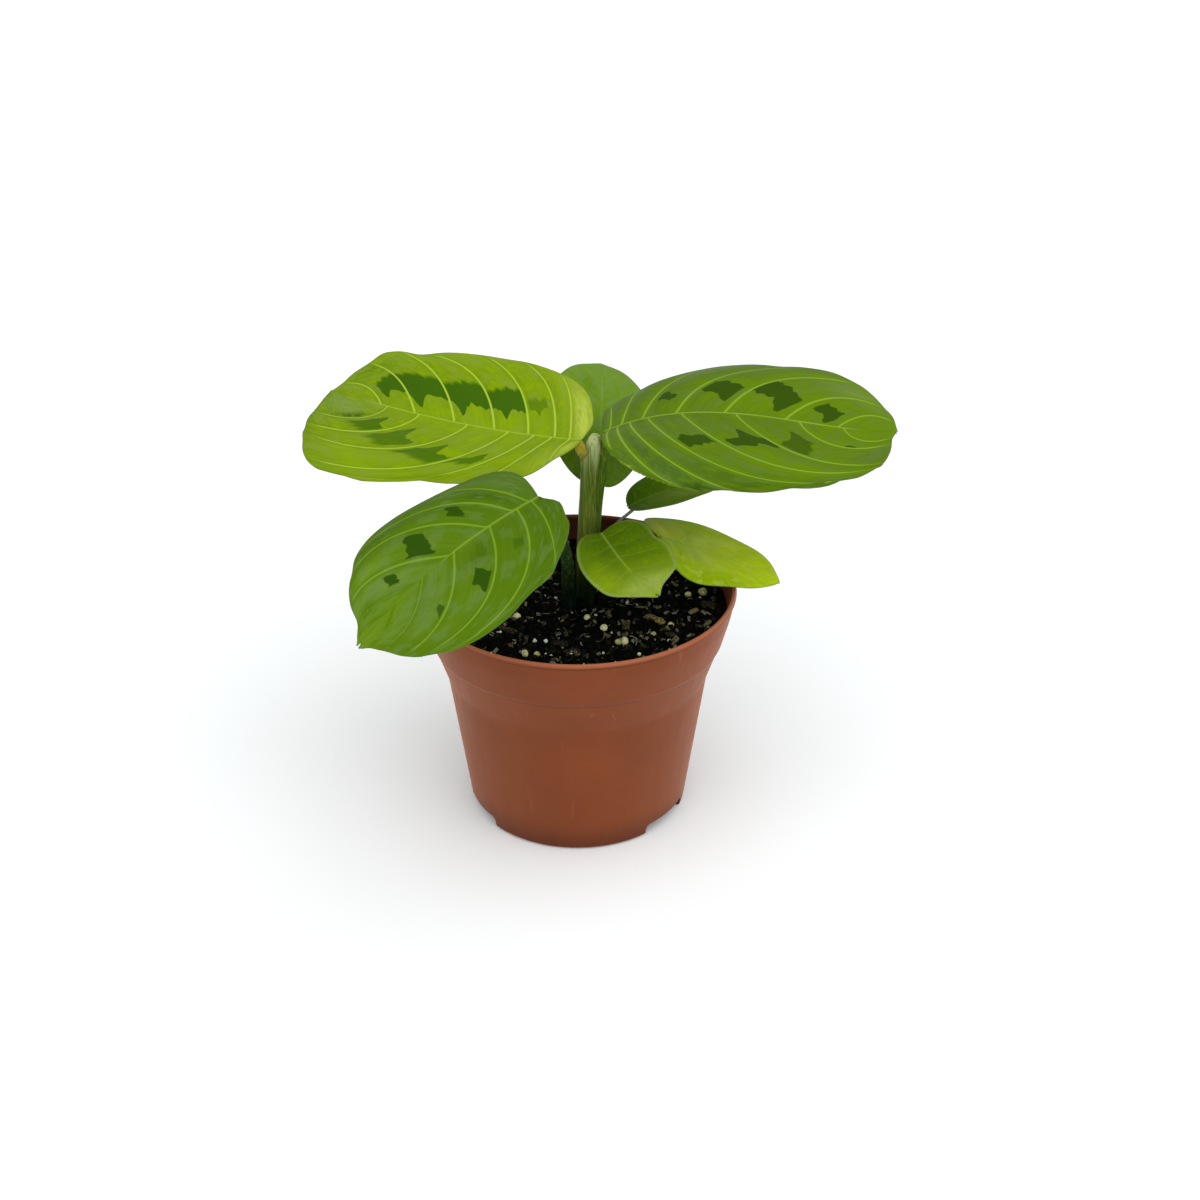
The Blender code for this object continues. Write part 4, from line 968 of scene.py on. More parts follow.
def half_values(leaf, side, starts, across, look):
    """Everything that one half's grid carries, for both faces of the blade. For the finish, the
    distances from the nearest side vein and from the midrib are counted in half stripes."""
    x, y, vein = half_blade(leaf, side, starts, across)
    count = len(of_side(leaf.veins, side))
    t, start = np.broadcast_to(across[None, :], x.shape), starts[:, None]
    width = gap_width(x, y, vein)
    distance = np.abs(vein - np.clip(np.round(vein), 1, count)) * width
    run = np.max(np.hypot(x - x[:, :1], y), axis=1)[:, None]
    # Side veins thin out by the margin, at the tip, at the base and where the midrib ends
    clear = np.clip((leaf.rib_end + 0.2 - start) / 0.2, 0.05, 1.0)
    fade = np.clip(1.15 - t, 0, 1) * np.clip((count + 1.2 - vein) / 2.0, 0.15, 1.0)
    fade = fade * np.clip(vein / 1.2, 0.3, 1.0) * clear
    thick = look.vein_width / 2 * (0.3 + 0.7 * fade)
    # The blade is puffed up between two veins, less where they are close or hardly show
    crest = np.sin(np.pi * np.minimum(1.0, t * 1.03)) ** 0.8
    quilting = look.quilting * (0.35 + 0.65 * leaf.show[0])
    puff = quilting * np.abs(np.sin(np.pi * vein)) ** 1.3 * crest * np.minimum(1.0, width / (8 * MM))
    # The margin waves once for each two gaps, and the halves not in step
    along = vein / (count + 1)
    swing = np.sin(2 * np.pi * (along * (count + 1) / 2 + of_side((0.0, 0.7), side)))
    wave = leaf.wave * MM * t**3 * swing * np.sin(np.pi * np.clip(along, 0, 1))
    # Ridges of the side veins and the midrib, above and below
    ridge = look.vein_height * np.exp(-((distance / thick) ** 2)) * fade
    below = 0.3 * MM * fade * np.exp(-((distance / (1.6 * thick)) ** 2))
    rib = np.clip(1 - 0.7 * start, 0.2, 1) * np.exp(-((y / (0.8 * MM)) ** 2))
    rib_fade = np.clip((leaf.rib_end - start) / 0.12, 0.05, 1.0)
    rib_width = look.rib_width / 2 * (1.15 - 0.6 * start) * rib_fade
    blotch, tint = blotch_depth(leaf, side, vein, t, width, run)
    return {
        "x": x, "y": y, "number": vein, "across": t,
        "lift": puff + wave + ridge + 0.25 * MM * rib,
        "under": look.thickness + look.rib_depth * rib + below,
        "vein": distance / thick + 0.9 * (1 - clear) + np.clip((t - 0.88) / 0.12, 0, 1),
        "rib": np.abs(y) / rib_width,
        "blotch": blotch, "tint": tint, "edge": (1 - t) * run / MM,
        "field": field_colour(leaf, side, starts, vein, t),
    }


def blade(name, leaf, look):
    """The blade as one closed mesh: a fine grid laid along the side veins, its upper and lower
    faces and the thin margin between them."""
    starts = blade_rows(leaf, look.rows_per_gap)
    across = np.concatenate([BESIDE_RIB, np.linspace(0.115, 1.0, look.columns)])
    left = half_values(leaf, LEFT, starts, across, look)
    right = half_values(leaf, RIGHT, starts, across, look)
    # The left half turned round and the right half, side by side, sharing the midrib
    grid = {key: np.concatenate([left[key][:, ::-1], right[key][:, 1:]], axis=1) for key in left}
    # The midrib's own points are put a hair to the right, so that they belong to a half
    top = bent(leaf, midrib(leaf), grid["x"], grid["y"] + 1e-9, grid["lift"])
    facing = np.cross(np.gradient(top, axis=1), np.gradient(top, axis=0))
    facing /= np.maximum(np.linalg.norm(facing, axis=2, keepdims=True), 1e-12)
    bottom = top - facing * grid["under"][..., None]
    rows, columns = grid["x"].shape
    total = rows * columns
    number = np.arange(total).reshape(rows, columns)
    corners = [number[:-1, :-1], number[:-1, 1:], number[1:, 1:], number[1:, :-1]]
    quads = np.stack(corners, -1).reshape(-1, 4)
    rim = np.concatenate([number[0, :], number[1:, -1], number[-1, -2::-1], number[-2:0:-1, 0]])
    after = np.roll(rim, -1)
    band = np.stack([after, rim, rim + total, after + total], -1)
    faces = np.concatenate([quads, quads[:, ::-1] + total, band])
    made = new_object(name, np.concatenate([top.reshape(-1, 3), bottom.reshape(-1, 3)]).tolist(), [],
                      faces.tolist())
    mesh = made.data
    lower = np.zeros(len(faces), dtype=np.int32)
    lower[len(quads) : 2 * len(quads)] = 1
    mesh.polygons.foreach_set("material_index", lower)
    for label in ("vein", "rib", "blotch", "tint", "edge"):
        set_values(mesh, label, np.tile(grid[label].ravel(), 2))
    set_values(mesh, "field", np.tile(grid["field"].ravel(), 2), "FLOAT_COLOR")
    flat = np.stack([np.tile(grid[key].ravel(), 2) for key in ("number", "across")], 1)
    corner = np.empty(len(mesh.loops), dtype=np.int32)
    mesh.loops.foreach_get("vertex_index", corner)
    mesh.uv_layers.new(name="veins").data.foreach_set("uv", flat[corner].ravel())
    mesh.update()
    smooth_faces(mesh, 50)
    return made


# Pot

POCKET_ANGLES = (-35.0, 85.0, 205.0)
# How far from the pot's axis a drain pocket begins and ends, and how round its edges are
POCKET_INNER, POCKET_OUTER, POCKET_ROUND = 24.0 * MM, 48.0 * MM, 1.8 * MM
# A drain hole's radius, how far it is from the axis, and how deep it is bored
HOLE_RADIUS, HOLE_PLACE, HOLE_DEPTH = 3.5 * MM, 32.0 * MM, 8.0 * MM
# In mm: the wall's radius and height at its top, the radius and height inside where the shoulder
# meets the band, and how far in from the lip and below the top the band begins
WALL_RADIUS, WALL_TOP = 49.6, 56.0
BAND_RADIUS, BAND_FOOT = 54.2, 69.8
BAND_INSET, BAND_DROP = 1.6, 8.0


def rounded(points, radii, steps=5):
    """A (radius, height) profile with each corner rounded by its own radius, or by as much as its
    two sides have room for."""
    route = [points[0]]
    for before, here, after, radius in zip(points, points[1:], points[2:], radii):
        here, before, after = Vector(here), Vector(before), Vector(after)
        back, forth = before - here, after - here
        cut_back = min(radius, 0.45 * back.length, 0.45 * forth.length)
        first, last = here + back.normalized() * cut_back, here + forth.normalized() * cut_back
        for step in range(steps + 1):
            t = step / steps
            route.append(tuple(first * (1 - t) ** 2 + here * 2 * t * (1 - t) + last * t**2))
    return [*route, points[-1]]


def outer_profile(look):
    """The pot's outside from the middle of its top to the middle of its base, with the radius
    of each corner: a raised bead round the lip, the band, the shoulder and the wall."""
    top, rim, foot = look.height / MM, look.rim_radius / MM, look.foot_radius / MM
    band = look.band_height / MM
    profile = (
        (0.0, top - 0.5), (rim - 1.7, top - 0.5), (rim - 0.7, top), (rim, top - 1.7),
        (rim - 0.8, top - 2.1), (rim - BAND_INSET, top - BAND_DROP), (55.3, band + 0.9),
        (54.4, band - 0.3), (WALL_RADIUS + 0.4, WALL_TOP + 2.0), (WALL_RADIUS, WALL_TOP),
        (foot + 0.1, 1.0), (foot - 1.0, 0.0), (0.0, 0.0),
    )
    radii = (0.1, 0.35, 0.4, 0.2, 2.0, 0.6, 1.2, 2.5, 1.0, 0.6, 0.6)
    return [(x * MM, z * MM) for x, z in profile], [radius * MM for radius in radii]


def inner_radius(height, inset, look):
    """The pot's inner radius at a height, less an inset."""
    heights = (0.0, WALL_TOP * MM, BAND_FOOT * MM, look.height - BAND_DROP * MM, look.height + 0.1 * MM)
    radii = (
        look.foot_radius, WALL_RADIUS * MM, BAND_RADIUS * MM, look.rim_radius - BAND_INSET * MM,
        look.rim_radius - 0.2 * MM,
    )
    return float(np.interp(height, heights, radii)) - look.wall - inset


def inner_profile(top, inset, look):
    """The pot's inside from the middle of a top to the middle of its floor, less an inset, with
    the radius of each corner."""
    floor = look.wall + inset
    heights = (top, look.height - BAND_DROP * MM, BAND_FOOT * MM, WALL_TOP * MM, floor + 1.0 * MM)
    sides = [(inner_radius(z, inset, look), z) for z in heights if z <= top]
    low = (inner_radius(floor, inset, look) - 1.0 * MM, floor)
    return [(0.0, top), *sides, low, (0.0, floor)], [0.1 * MM] + [1.2 * MM] * (len(sides) - 1) + [0.5 * MM]


def polyline(name, points):
    """A row of points, each joined to the next."""
    return new_object(name, points, [(i, i + 1) for i in range(len(points) - 1)], [])


def turned(name, profile, radii, sides):
    """A closed solid, turned from a profile with rounded corners."""
    route = rounded(profile, radii)
    solid = polyline(name, [(radius, 0.0, height) for radius, height in route])
    grow(solid, turning_tree(), {"Sides": sides})
    facing_out(solid.data, 2 * MERGE)
    return solid


def place_out(angle, reach, height):
    """The place that lies so far out from the pot's axis at an angle, turned to face outwards."""
    return Matrix.Rotation(math.radians(angle), 4, "Z") @ Matrix.Translation((reach, 0.0, height))


def pocket_block(angle, grown, look):
    """The hollow of one drain pocket under the pot, or that hollow grown by a wall."""
    length = POCKET_OUTER - POCKET_INNER + grown
    height = look.pocket_height + grown + 2.0 * MM
    shape = bmesh.new()
    bmesh.ops.create_cube(shape, size=1.0)
    size = Matrix.Diagonal((length, look.pocket_width + 2 * grown, height, 1.0))
    bmesh.ops.transform(shape, matrix=size, verts=shape.verts)
    upper = [e for e in shape.edges if all(v.co.z > 0 for v in e.verts)]
    upright = [e for e in shape.edges if abs(e.verts[0].co.z - e.verts[1].co.z) > 0.5 * height]
    bmesh.ops.bevel(
        shape, geom=upper + upright, offset=POCKET_ROUND, segments=5, affect="EDGES", profile=0.5
    )
    place = place_out(angle, POCKET_OUTER - length / 2, look.pocket_height + grown - height / 2)
    bmesh.ops.transform(shape, matrix=place, verts=shape.verts)
    return object_from(shape, "pocket")


def pocket_blocks(grown, look):
    """All the pocket blocks, for one cut."""
    return [pocket_block(angle, grown, look) for angle in POCKET_ANGLES]


def drain_hole(angle, look):
    """The round hole through one drain pocket's roof."""
    shape = bmesh.new()
    bmesh.ops.create_cone(shape, cap_ends=True, segments=40, radius1=HOLE_RADIUS, radius2=HOLE_RADIUS,
                          depth=HOLE_DEPTH, matrix=place_out(angle, HOLE_PLACE, look.pocket_height))
    return object_from(shape, "drain")


def cut(solid, *tools):
    """Takes the tools out of the solid, which becomes a plain mesh. The tools are used up."""
    for tool in tools:
        modifier = solid.modifiers.new("Cut", "BOOLEAN")
        modifier.operation, modifier.solver, modifier.object = "DIFFERENCE", "EXACT", tool
    bake(solid)
    for tool in tools:
        bpy.data.objects.remove(tool, do_unlink=True)


def build_pot(look):
    """The pot: a turned body and cavity, cut through by the drain pockets and their holes."""
    pot = turned("nursery_pot", *outer_profile(look), look.sides)
    cavity = turned("cavity", *inner_profile(look.height + 2.0 * MM, 0.0, look), look.sides)
    cut(cavity, *pocket_blocks(look.wall, look))
    cut(pot, cavity)
    cut(pot, *pocket_blocks(0.0, look))
    cut(pot, *(drain_hole(angle, look) for angle in POCKET_ANGLES))
    facing_out(pot.data)
    smooth_faces(pot.data, 32)
    # Peat dust and painted shade on the wall's inner face, between the pockets and the lip
    walls = [inner_radius(v.co.z, -0.2 * MM, look) for v in pot.data.vertices]
    inside = [
        1.0 if math.hypot(v.co.x, v.co.y) < wall and 7.0 * MM < v.co.z < look.height - 1.5 * MM else 0.0
        for v, wall in zip(pot.data.vertices, walls)
    ]
    set_values(pot.data, "inside", np.array(inside))
    dress(pot, "pot", moulded_plastic(look))
    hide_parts("pot")


# Soil

SOIL_LEVEL = 82.0 * MM
# The peat stands this far off the pot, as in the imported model
SOIL_GAP = 0.3 * MM
MOUND, UNEVENNESS = 0.6 * MM, 2.2 * MM
CRUMB_SIZE, CLOD_SIZE, GRIT_SIZE = 6.5 * MM, 2.4 * MM, 0.8 * MM


def soil_height(x, y, pot_look):
    """The crumbly top of the soil at a place."""
    reach = min(1.0, math.hypot(x, y) / (pot_look.rim_radius - 5.0 * MM))
    crumbs = noise.noise(Vector((x, y, 0.3 * CRUMB_SIZE)) / CRUMB_SIZE)
    lumps = noise.noise(Vector((x, y, 9.0 * CRUMB_SIZE)) / (3.2 * CRUMB_SIZE))
    return SOIL_LEVEL + MOUND * (1.0 - reach**2) + UNEVENNESS * (0.7 * crumbs + 0.8 * lumps)


def fine_crumbs(x, y, depth):
    """Small clods, and finer grit on them."""
    clods = noise.voronoi(Vector((x, y, 0.0)) / CLOD_SIZE)[0][0]
    grit = noise.noise(Vector((x, y, 0.0)) / GRIT_SIZE)
    return depth * (0.55 - clods) + 0.35 * depth * grit


def soil_rings(radius, rings, spokes, look, pot_look):
    """The points and faces of the soil's open top, in rings from the wall to the middle."""
    points, faces = [], []
    for ring in range(rings):
        share = 1.0 - ring / rings
        for spoke in range(spokes):
            angle = 2 * math.pi * spoke / spokes
            x, y = radius * share * math.cos(angle), radius * share * math.sin(angle)
            clods = fine_crumbs(x, y, look.clod_depth) * min(1.0, 8 * (1 - share))
            points.append((x, y, soil_height(x, y, pot_look) + clods))
            if ring:
                after = (spoke + 1) % spokes
                near, far = ring * spokes, (ring - 1) * spokes
                faces.append((far + spoke, far + after, near + after, near + spoke))
    return points, faces


def build_soil(look, pot_look):
    """Peat that fills the pot, with a clodded top."""
    spokes, rings = 220, 80
    radius = inner_radius(SOIL_LEVEL, SOIL_GAP, pot_look)
    points, faces = soil_rings(radius, rings, spokes, look, pot_look)
    last, middle = (rings - 1) * spokes, rings * spokes
    points.append((0.0, 0.0, soil_height(0.0, 0.0, pot_look)))
    faces += [(last + s, last + (s + 1) % spokes, middle) for s in range(spokes)]
    upper = list(range(spokes))
    profile, _ = inner_profile(SOIL_LEVEL, SOIL_GAP, pot_look)
    for radius, height in profile[2:-1]:
        lower = list(range(len(points), len(points) + spokes))
        for spoke in range(spokes):
            angle, after = 2 * math.pi * spoke / spokes, (spoke + 1) % spokes
            points.append((radius * math.cos(angle), radius * math.sin(angle), height))
            faces.append((upper[after], upper[spoke], lower[spoke], lower[after]))
        upper = lower
    faces.append(tuple(reversed(upper)))
    soil = new_object("peat_soil", points, [], faces)
    cut(soil, *pocket_blocks(pot_look.wall + SOIL_GAP, pot_look))
    facing_out(soil.data)
    smooth_faces(soil.data, 60)
    # Damp peat: nearly black and dull, a little browner where it is dry; the near-black is partly
    # painted shade, for the gaps between the bits strewn on it
    dress(soil, "soil", crumbled("Crumbled damp peat", ("010101", "040403", "0E0C08"), 1.6, 0.9, 0.5, 0.05))
    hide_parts("soil")


def strew(name, shape, surface, values, look, pot_look):
    """Bits of one kind over the open top of the soil, which is kept bare beside the wall."""
    radius, bare = inner_radius(SOIL_LEVEL, 2 * SOIL_GAP, pot_look), 1.6 * MM
    rings, spokes = 44, 120
    points, faces = soil_rings(radius, rings, spokes, look, pot_look)
    bed = new_object(name, points, [], faces)
    free = [1.0 if math.hypot(p[0], p[1]) < radius - bare else 0.0 for p in points]
    set_values(bed.data, "free", np.array(free))
    grow(bed, scattering_tree(f"Strew {name}", shape), {**values, "Material": surface})
    facing_out(bed.data)
    dress(bed, "soil", surface)


def grains(name, places, surface, dent, look, pot_look, raised):
    """Grains and chips at given places, each dented in its own way, partly sunk in the soil or
    at a raised height. A place is x, y and a diameter, or x, y, length, width, thickness, turn
    and tone."""
    rng = random.Random(look.seed + len(places))
    # The dents come from noise_vector, which differs from run to run unless it is seeded
    noise.seed_set(look.seed)
    shape = bmesh.new()
    tones = shape.verts.layers.float.new("tone")
    for x, y, *rest in places:
        *sizes, turn, tone = rest if len(rest) > 1 else (
            *(rest[0] * rng.uniform(0.85, 1.05) for _ in range(3)), rng.uniform(0, 180), rng.random()
        )
        x, y, half = x * MM, y * MM, 0.5 * MM * sizes[2]
        height = raised if raised is not None else soil_height(x, y, pot_look)
        place = Matrix.Translation((x, y, height + 0.5 * half)) @ Matrix.Rotation(math.radians(turn), 4, "Z")
        place = place @ Matrix.Diagonal((*(0.5 * MM * size for size in sizes), 1.0))
        made = bmesh.ops.create_icosphere(shape, subdivisions=3, radius=1.0, matrix=place)
        for vert in made["verts"]:
            vert.co += noise.noise_vector(vert.co / (0.9 * half)) * dent * half
            vert[tones] = tone
    piece = object_from(shape, name)
    facing_out(piece.data)
    smooth_faces(piece.data, 50)
    dress(piece, "soil", surface)


# Stalks

# How far a stalk goes on below its first point, down in the soil
SUNK = 12.0 * MM


def smooth_route(points, radii, step):
    """Closely spaced points and radii along a smooth curve through the given ones."""
    rows = [np.array([*p, r]) for p, r in zip(points, radii)]
    ends = [2 * rows[0] - rows[1], *rows, 2 * rows[-1] - rows[-2]]
    route = []
    for before, here, there, after in zip(ends, ends[1:], ends[2:], ends[3:]):
        count = max(2, round(float(np.linalg.norm(there[:3] - here[:3])) / step))
        for index in range(count):
            t = index / count
            curve = 0.5 * (
                2 * here + (there - before) * t
                + (2 * before - 5 * here + 4 * there - after) * t**2
                + (3 * here - before - 3 * there + after) * t**3
            )
            curve[3] = here[3] + t * (there[3] - here[3])
            route.append(curve)
    route.append(rows[-1])
    return np.array(route)


def stalk_route(stalk):
    """A stalk's points and radii in metres, from below the soil into its leaf's midrib. It comes
    up under the blade, bends and runs out along the midrib, by so many of its own radii."""
    points = [np.array(p) * MM for p in stalk.points]
    radii = [r * MM for r in stalk.radii]
    down = points[0] - points[1]
    down = 0.35 * down / np.linalg.norm(down) + np.array((0.0, 0.0, -1.0))
    points.insert(0, points[0] + down / np.linalg.norm(down) * SUNK)
    radii.insert(0, radii[0])
    if stalk.leaf:
        leaf = LEAVES[stalk.leaf]
        seat = np.array([1.4 * MM])
        centre, up, ahead = (on_midrib(leaf, midrib(leaf), seat, which)[0] for which in (1, 3, 4))
        drop = 2.6 * radii[-1]
        points.append(centre - up * drop - ahead * 0.2 * drop)
        points.append(centre - up * 0.9 * radii[-1])
        points.append(centre - up * 0.4 * radii[-1] + ahead * 1.6 * radii[-1])
        radii.insert(-1, radii[-1])
        radii.append(0.35 * radii[-1])
    return smooth_route(points, radii, 1.0 * MM)


def swept_stalk(name, stalk, look, tree, surface):
    """A ribbed stalk, a little swollen at the joint under its blade."""
    route = stalk_route(stalk)
    line = polyline(name, route[:, :3])
    length = np.concatenate([[0.0], np.cumsum(np.linalg.norm(np.diff(route[:, :3], axis=0), axis=1))])
    from_top = length[-1] - length
    joint, swell = np.zeros(len(route)), np.ones(len(route))
    if stalk.joint:
        joint = np.clip(1.2 - from_top / (stalk.joint * MM), 0, 1)
        swell = 1 + 0.12 * np.sin(np.pi * np.clip(from_top / (1.4 * stalk.joint * MM), 0, 1))
    set_values(line.data, "radius", route[:, 3] * swell)
    set_values(line.data, "joint", joint)
    set_values(line.data, "rise", np.clip((route[:, 2] - SOIL_LEVEL) / look.green_height, 0, 1))
    grow(line, tree, {"Sides": look.stalk_sides, "Rib depth": look.rib_depth,
                      "Ribs per metre": look.ribs, "Material": surface})
    facing_out(line.data, MERGE)
    smooth_faces(line.data, 60)
    return line


# Settings


def length_property(name, description, default, low, high):
    return bpy.props.FloatProperty(
        name=name, description=description, default=default, min=low, max=high, unit="LENGTH", precision=5
    )


def colour_property(name, description, hex_colour):
    return bpy.props.FloatVectorProperty(
        name=name, description=description, subtype="COLOR", size=3, min=0.0, max=1.0,
        default=linear(hex_colour)[:3],
    )


def number_property(name, description, default, low=0.0, **details):
    kind = bpy.props.IntProperty if isinstance(default, int) else bpy.props.FloatProperty
    return kind(name=name, description=description, default=default, min=type(default)(low), **details)


class PotSettings(bpy.types.PropertyGroup):
    height: length_property("Height", "Height of the pot", 92.0 * MM, 0.05, 0.2)
    rim_radius: length_property("Rim radius", "Radius over the lip", 60.0 * MM, 0.03, 0.1)
    foot_radius: length_property("Foot radius", "Radius at the foot", 41.8 * MM, 0.02, 0.09)
    band_height: length_property("Band height", "Height of the band's lower edge", 71.5 * MM, 0.03, 0.1)
    wall: length_property("Wall", "Thickness of the wall", 1.1 * MM, 0.0004, 0.004)
    pocket_height: length_property("Pocket height", "Height of the drain pockets", 5.0 * MM, 0.001, 0.01)
    pocket_width: length_property("Pocket width", "Width of the drain pockets", 24.0 * MM, 0.005, 0.04)
    sides: number_property("Sides", "Faces round the pot", 216, 24, max=360)
    colour: colour_property("Colour", "Colour of the plastic", "723717")


class SoilSettings(bpy.types.PropertyGroup):
    clod_depth: length_property("Clod depth", "Depth of the fine clods", 1.3 * MM, 0.0, 0.004)
    crumbs: number_property("Crumbs", "Peat crumbs per square metre", 150000.0)
    flakes: number_property("Flakes", "Small olive flakes per square metre", 55000.0)
    chips: number_property("Bark chips", "Bark chips per square metre", 9000.0)
    fibres: number_property("Fibres", "Pale threads per square metre", 16000.0)
    specks: number_property("Pale specks", "Pale grit per square metre", 7000.0)
    seed: number_property("Seed", "Seed of what lies where", 41)


class LeafSettings(bpy.types.PropertyGroup):
    thickness: length_property("Thickness", "Thickness of the blade", 0.35 * MM, 0.0001, 0.002)
    rib_depth: length_property("Rib depth", "Depth of the midrib below", 1.1 * MM, 0.0, 0.004)
    rib_width: length_property("Rib width", "Width of the midrib's stripe", 1.0 * MM, 0.0, 0.004)
    vein_width: length_property("Vein width", "Width of a side vein", 0.95 * MM, 0.0001, 0.003)
    vein_height: length_property("Vein height", "How far side veins stand out", 0.10 * MM, 0.0, 0.001)
    quilting: length_property("Quilting", "Height of the puffs between veins", 0.90 * MM, 0.0, 0.003)
    gloss: number_property("Roughness", "Roughness of the waxy upper side", 0.46, 0.1, max=0.9)
    shine: number_property("Shine", "Strength of reflections on the blades", 0.03, max=1.0)
    rows_per_gap: number_property("Rows per gap", "Rows of the grid between two veins", 18, 12, max=40)
    columns: number_property("Columns", "Columns of the grid in each half", 54, 10, max=80)


class StalkSettings(bpy.types.PropertyGroup):
    stalk_sides: number_property("Sides", "Faces round a stalk", 48, 8, max=96)
    rib_depth: length_property("Rib depth", "Depth of the lengthwise ribs", 0.22 * MM, 0.0, 0.002)
    ribs: number_property("Ribs per metre", "How closely the ribs stand", 900.0, 10.0)
    green_height: length_property("Green height", "Height over which the stalks turn paler", 68.0 * MM,
                                  0.01, 0.2)


class StageSettings(bpy.types.PropertyGroup):
    floor_size: length_property("Floor size", "Side of the studio floor", 9.0, 1.0, 30.0)
    floor_colour: colour_property("Floor colour", "Colour of the studio floor", "F5F8F9")
    room: number_property("Room light", "Strength of the light from all round", 0.75)
    sun: number_property("Broad light", "Strength of the broad light in front and above", 1.9)
    spread: number_property("Spread", "How broad that light is", math.radians(100.0), 0.1,
                            subtype="ANGLE")
    distance: length_property("Camera distance", "From the camera to its target", 0.70, 0.1, 5.0)
    elevation: number_property("Elevation", "How far the camera looks down", math.radians(28.8),
                               subtype="ANGLE")
    lens: number_property("Lens", "Focal length on a 36 mm sensor", 55.7, 10.0, unit="CAMERA")


# Operators

# The point in mm that the camera looks at, and how the broad light is tilted, in degrees
TARGET = (8.6, 0.0, 85.0)
LIGHT_TILT = (38.0, 14.0, 0.0)


class PLANT_OT_pot(bpy.types.Operator):
    """Makes the turned nursery pot with its drain pockets and holes"""

    bl_idname = "plant.pot"
    bl_label = "Nursery pot"
    bl_options = {"REGISTER", "UNDO"}

    def execute(self, context):
        build_pot(context.scene.plant_pot)
        return {"FINISHED"}


class PLANT_OT_soil(bpy.types.Operator):
    """Makes the peat that fills the pot"""

    bl_idname = "plant.soil"
    bl_label = "Peat soil"
    bl_options = {"REGISTER", "UNDO"}

    def execute(self, context):
        build_soil(context.scene.plant_soil, context.scene.plant_pot)
        return {"FINISHED"}


class PLANT_OT_strewing(bpy.types.Operator):
    """Strews crumbs, flakes, bark chips, threads and pale grit over the soil"""

    bl_idname = "plant.strewing"
    bl_label = "Bits on the soil"
    bl_options = {"REGISTER", "UNDO"}

    def execute(self, context):
        look, pot_look = context.scene.plant_soil, context.scene.plant_pot
        lump = partial(block_shape, size=(1.5, 1.5, 1.5), cuts=(3, 3, 3))
        chip = partial(block_shape, size=(2.6, 1.3, 0.45), cuts=(5, 4, 2))
        # Each has the mm that a unit of its shape measures, least and most, its tilt in radians,
        # how deep it is sunk (raised, where below 0), and the depth and size of its dents, in mm
        kinds = (
            # Peat crumbs: dull and almost black, a few of them browner
            ("peat_crumbs", lump, look.crumbs, (0.35, 1.2), 3.0, 0.1, (0.45, 0.9),
             crumbled("Broken peat crumbs", ("020201", "060503", "1C1A10"), 1.2, 0.85, 0.3, 0.05, 0.25)),
            # Dry peat: thin flakes from black to a dusty grey
            ("peat_flakes", chip, look.flakes, (0.3, 0.9), 0.7, -0.5, (0.35, 1.1),
             crumbled("Dry peat flakes", ("040403", "1E1E16", "6E6E60"), 1.3, 0.8, 0.3, 0.1, 0.6)),
            # Split bark: olive brown with a tan, splintered grain
            ("bark_chips", chip, look.chips, (0.6, 1.4), 0.6, -0.6, (0.6, 1.8),
             crumbled("Split pine bark", ("080704", "2A2616", "726848"), 0.9, 0.8, 0.4, 0.1, 0.5)),
            # Dry plant fibre: thin bent threads in brown to straw
            ("peat_fibres", fibre_shape, look.fibres, (1.0, 2.6), 0.5, -0.6, (0.8, 3.0),
             crumbled("Dry plant fibre", ("14130A", "4A4630", "9C967C"), 2.5, 0.7, 0.1, 0.1, 0.4)),
            # Broken grit: pale and chalky, so that single specks stand out
            ("pale_specks", lump, look.specks, (0.15, 0.42), 3.0, -0.6, (0.2, 0.6),
             crumbled("Pale broken grit", ("545040", "8E8A78", "C8C4B6"), 1.5, 0.8, 0.1, 0.1, 0.3)),
        )
        for number, (name, shape, density, sizes, tilt, sink, dent, surface) in enumerate(kinds):
            values = {
                "Density": density, "Smallest": sizes[0] * MM, "Largest": sizes[1] * MM, "Tilt": tilt,
                "Sink": sink, "Dent": dent[0] * MM, "Dent size": dent[1] * MM, "Seed": look.seed + number,
            }
            strew(name, shape, surface, values, look, pot_look)
        return {"FINISHED"}


class PLANT_OT_grains(bpy.types.Operator):
    """Sets fertiliser prills, perlite and bark on the soil, and crumbs on the pot's rim"""

    bl_idname = "plant.grains"
    bl_label = "Prills, perlite and bark"
    bl_options = {"REGISTER", "UNDO"}

    def execute(self, context):
        look, pot_look = context.scene.plant_soil, context.scene.plant_pot
        # Each has its places, how deeply it is dented, and its height where it isn't on the soil
        kinds = (
            # Resin-coated fertiliser: smooth, straw to ivory, with a slight gloss
            ("fertiliser_prills", PRILLS, 0.12, None,
             crumbled("Resin-coated prills", ("96945A", "CCCB92", "F0F0D2"), 2.6, 0.45, 0.1, 0.3, 0.3)),
            # Expanded perlite: chalk white, rough, full of tiny pits
            ("perlite_lumps", PERLITE, 0.3, None,
             crumbled("Expanded perlite", ("A8A8A0", "D8D7D0", "F2F1EE"), 0.6, 0.9, 0.3)),
            # Weathered bark: olive to tan, patchy, with broken edges
            ("bark_pieces", CHIPS, 0.9, None,
             crumbled("Weathered bark", ("0A0904", "3C361C", "94824E"), 0.9, 0.8, 0.4, 0.15, 0.35)),
            # Spilled grit: dry tan crumbs that lie on the lip
            ("rim_crumbs", RIM_CRUMBS, 0.4, pot_look.height,
             crumbled("Spilled grit", ("6A4A30", "A07A54", "C8AC84"), 0.8, 0.8, 0.2)),
        )
        for name, places, dent, raised, surface in kinds:
            grains(name, places, surface, dent, look, pot_look, raised)
        return {"FINISHED"}


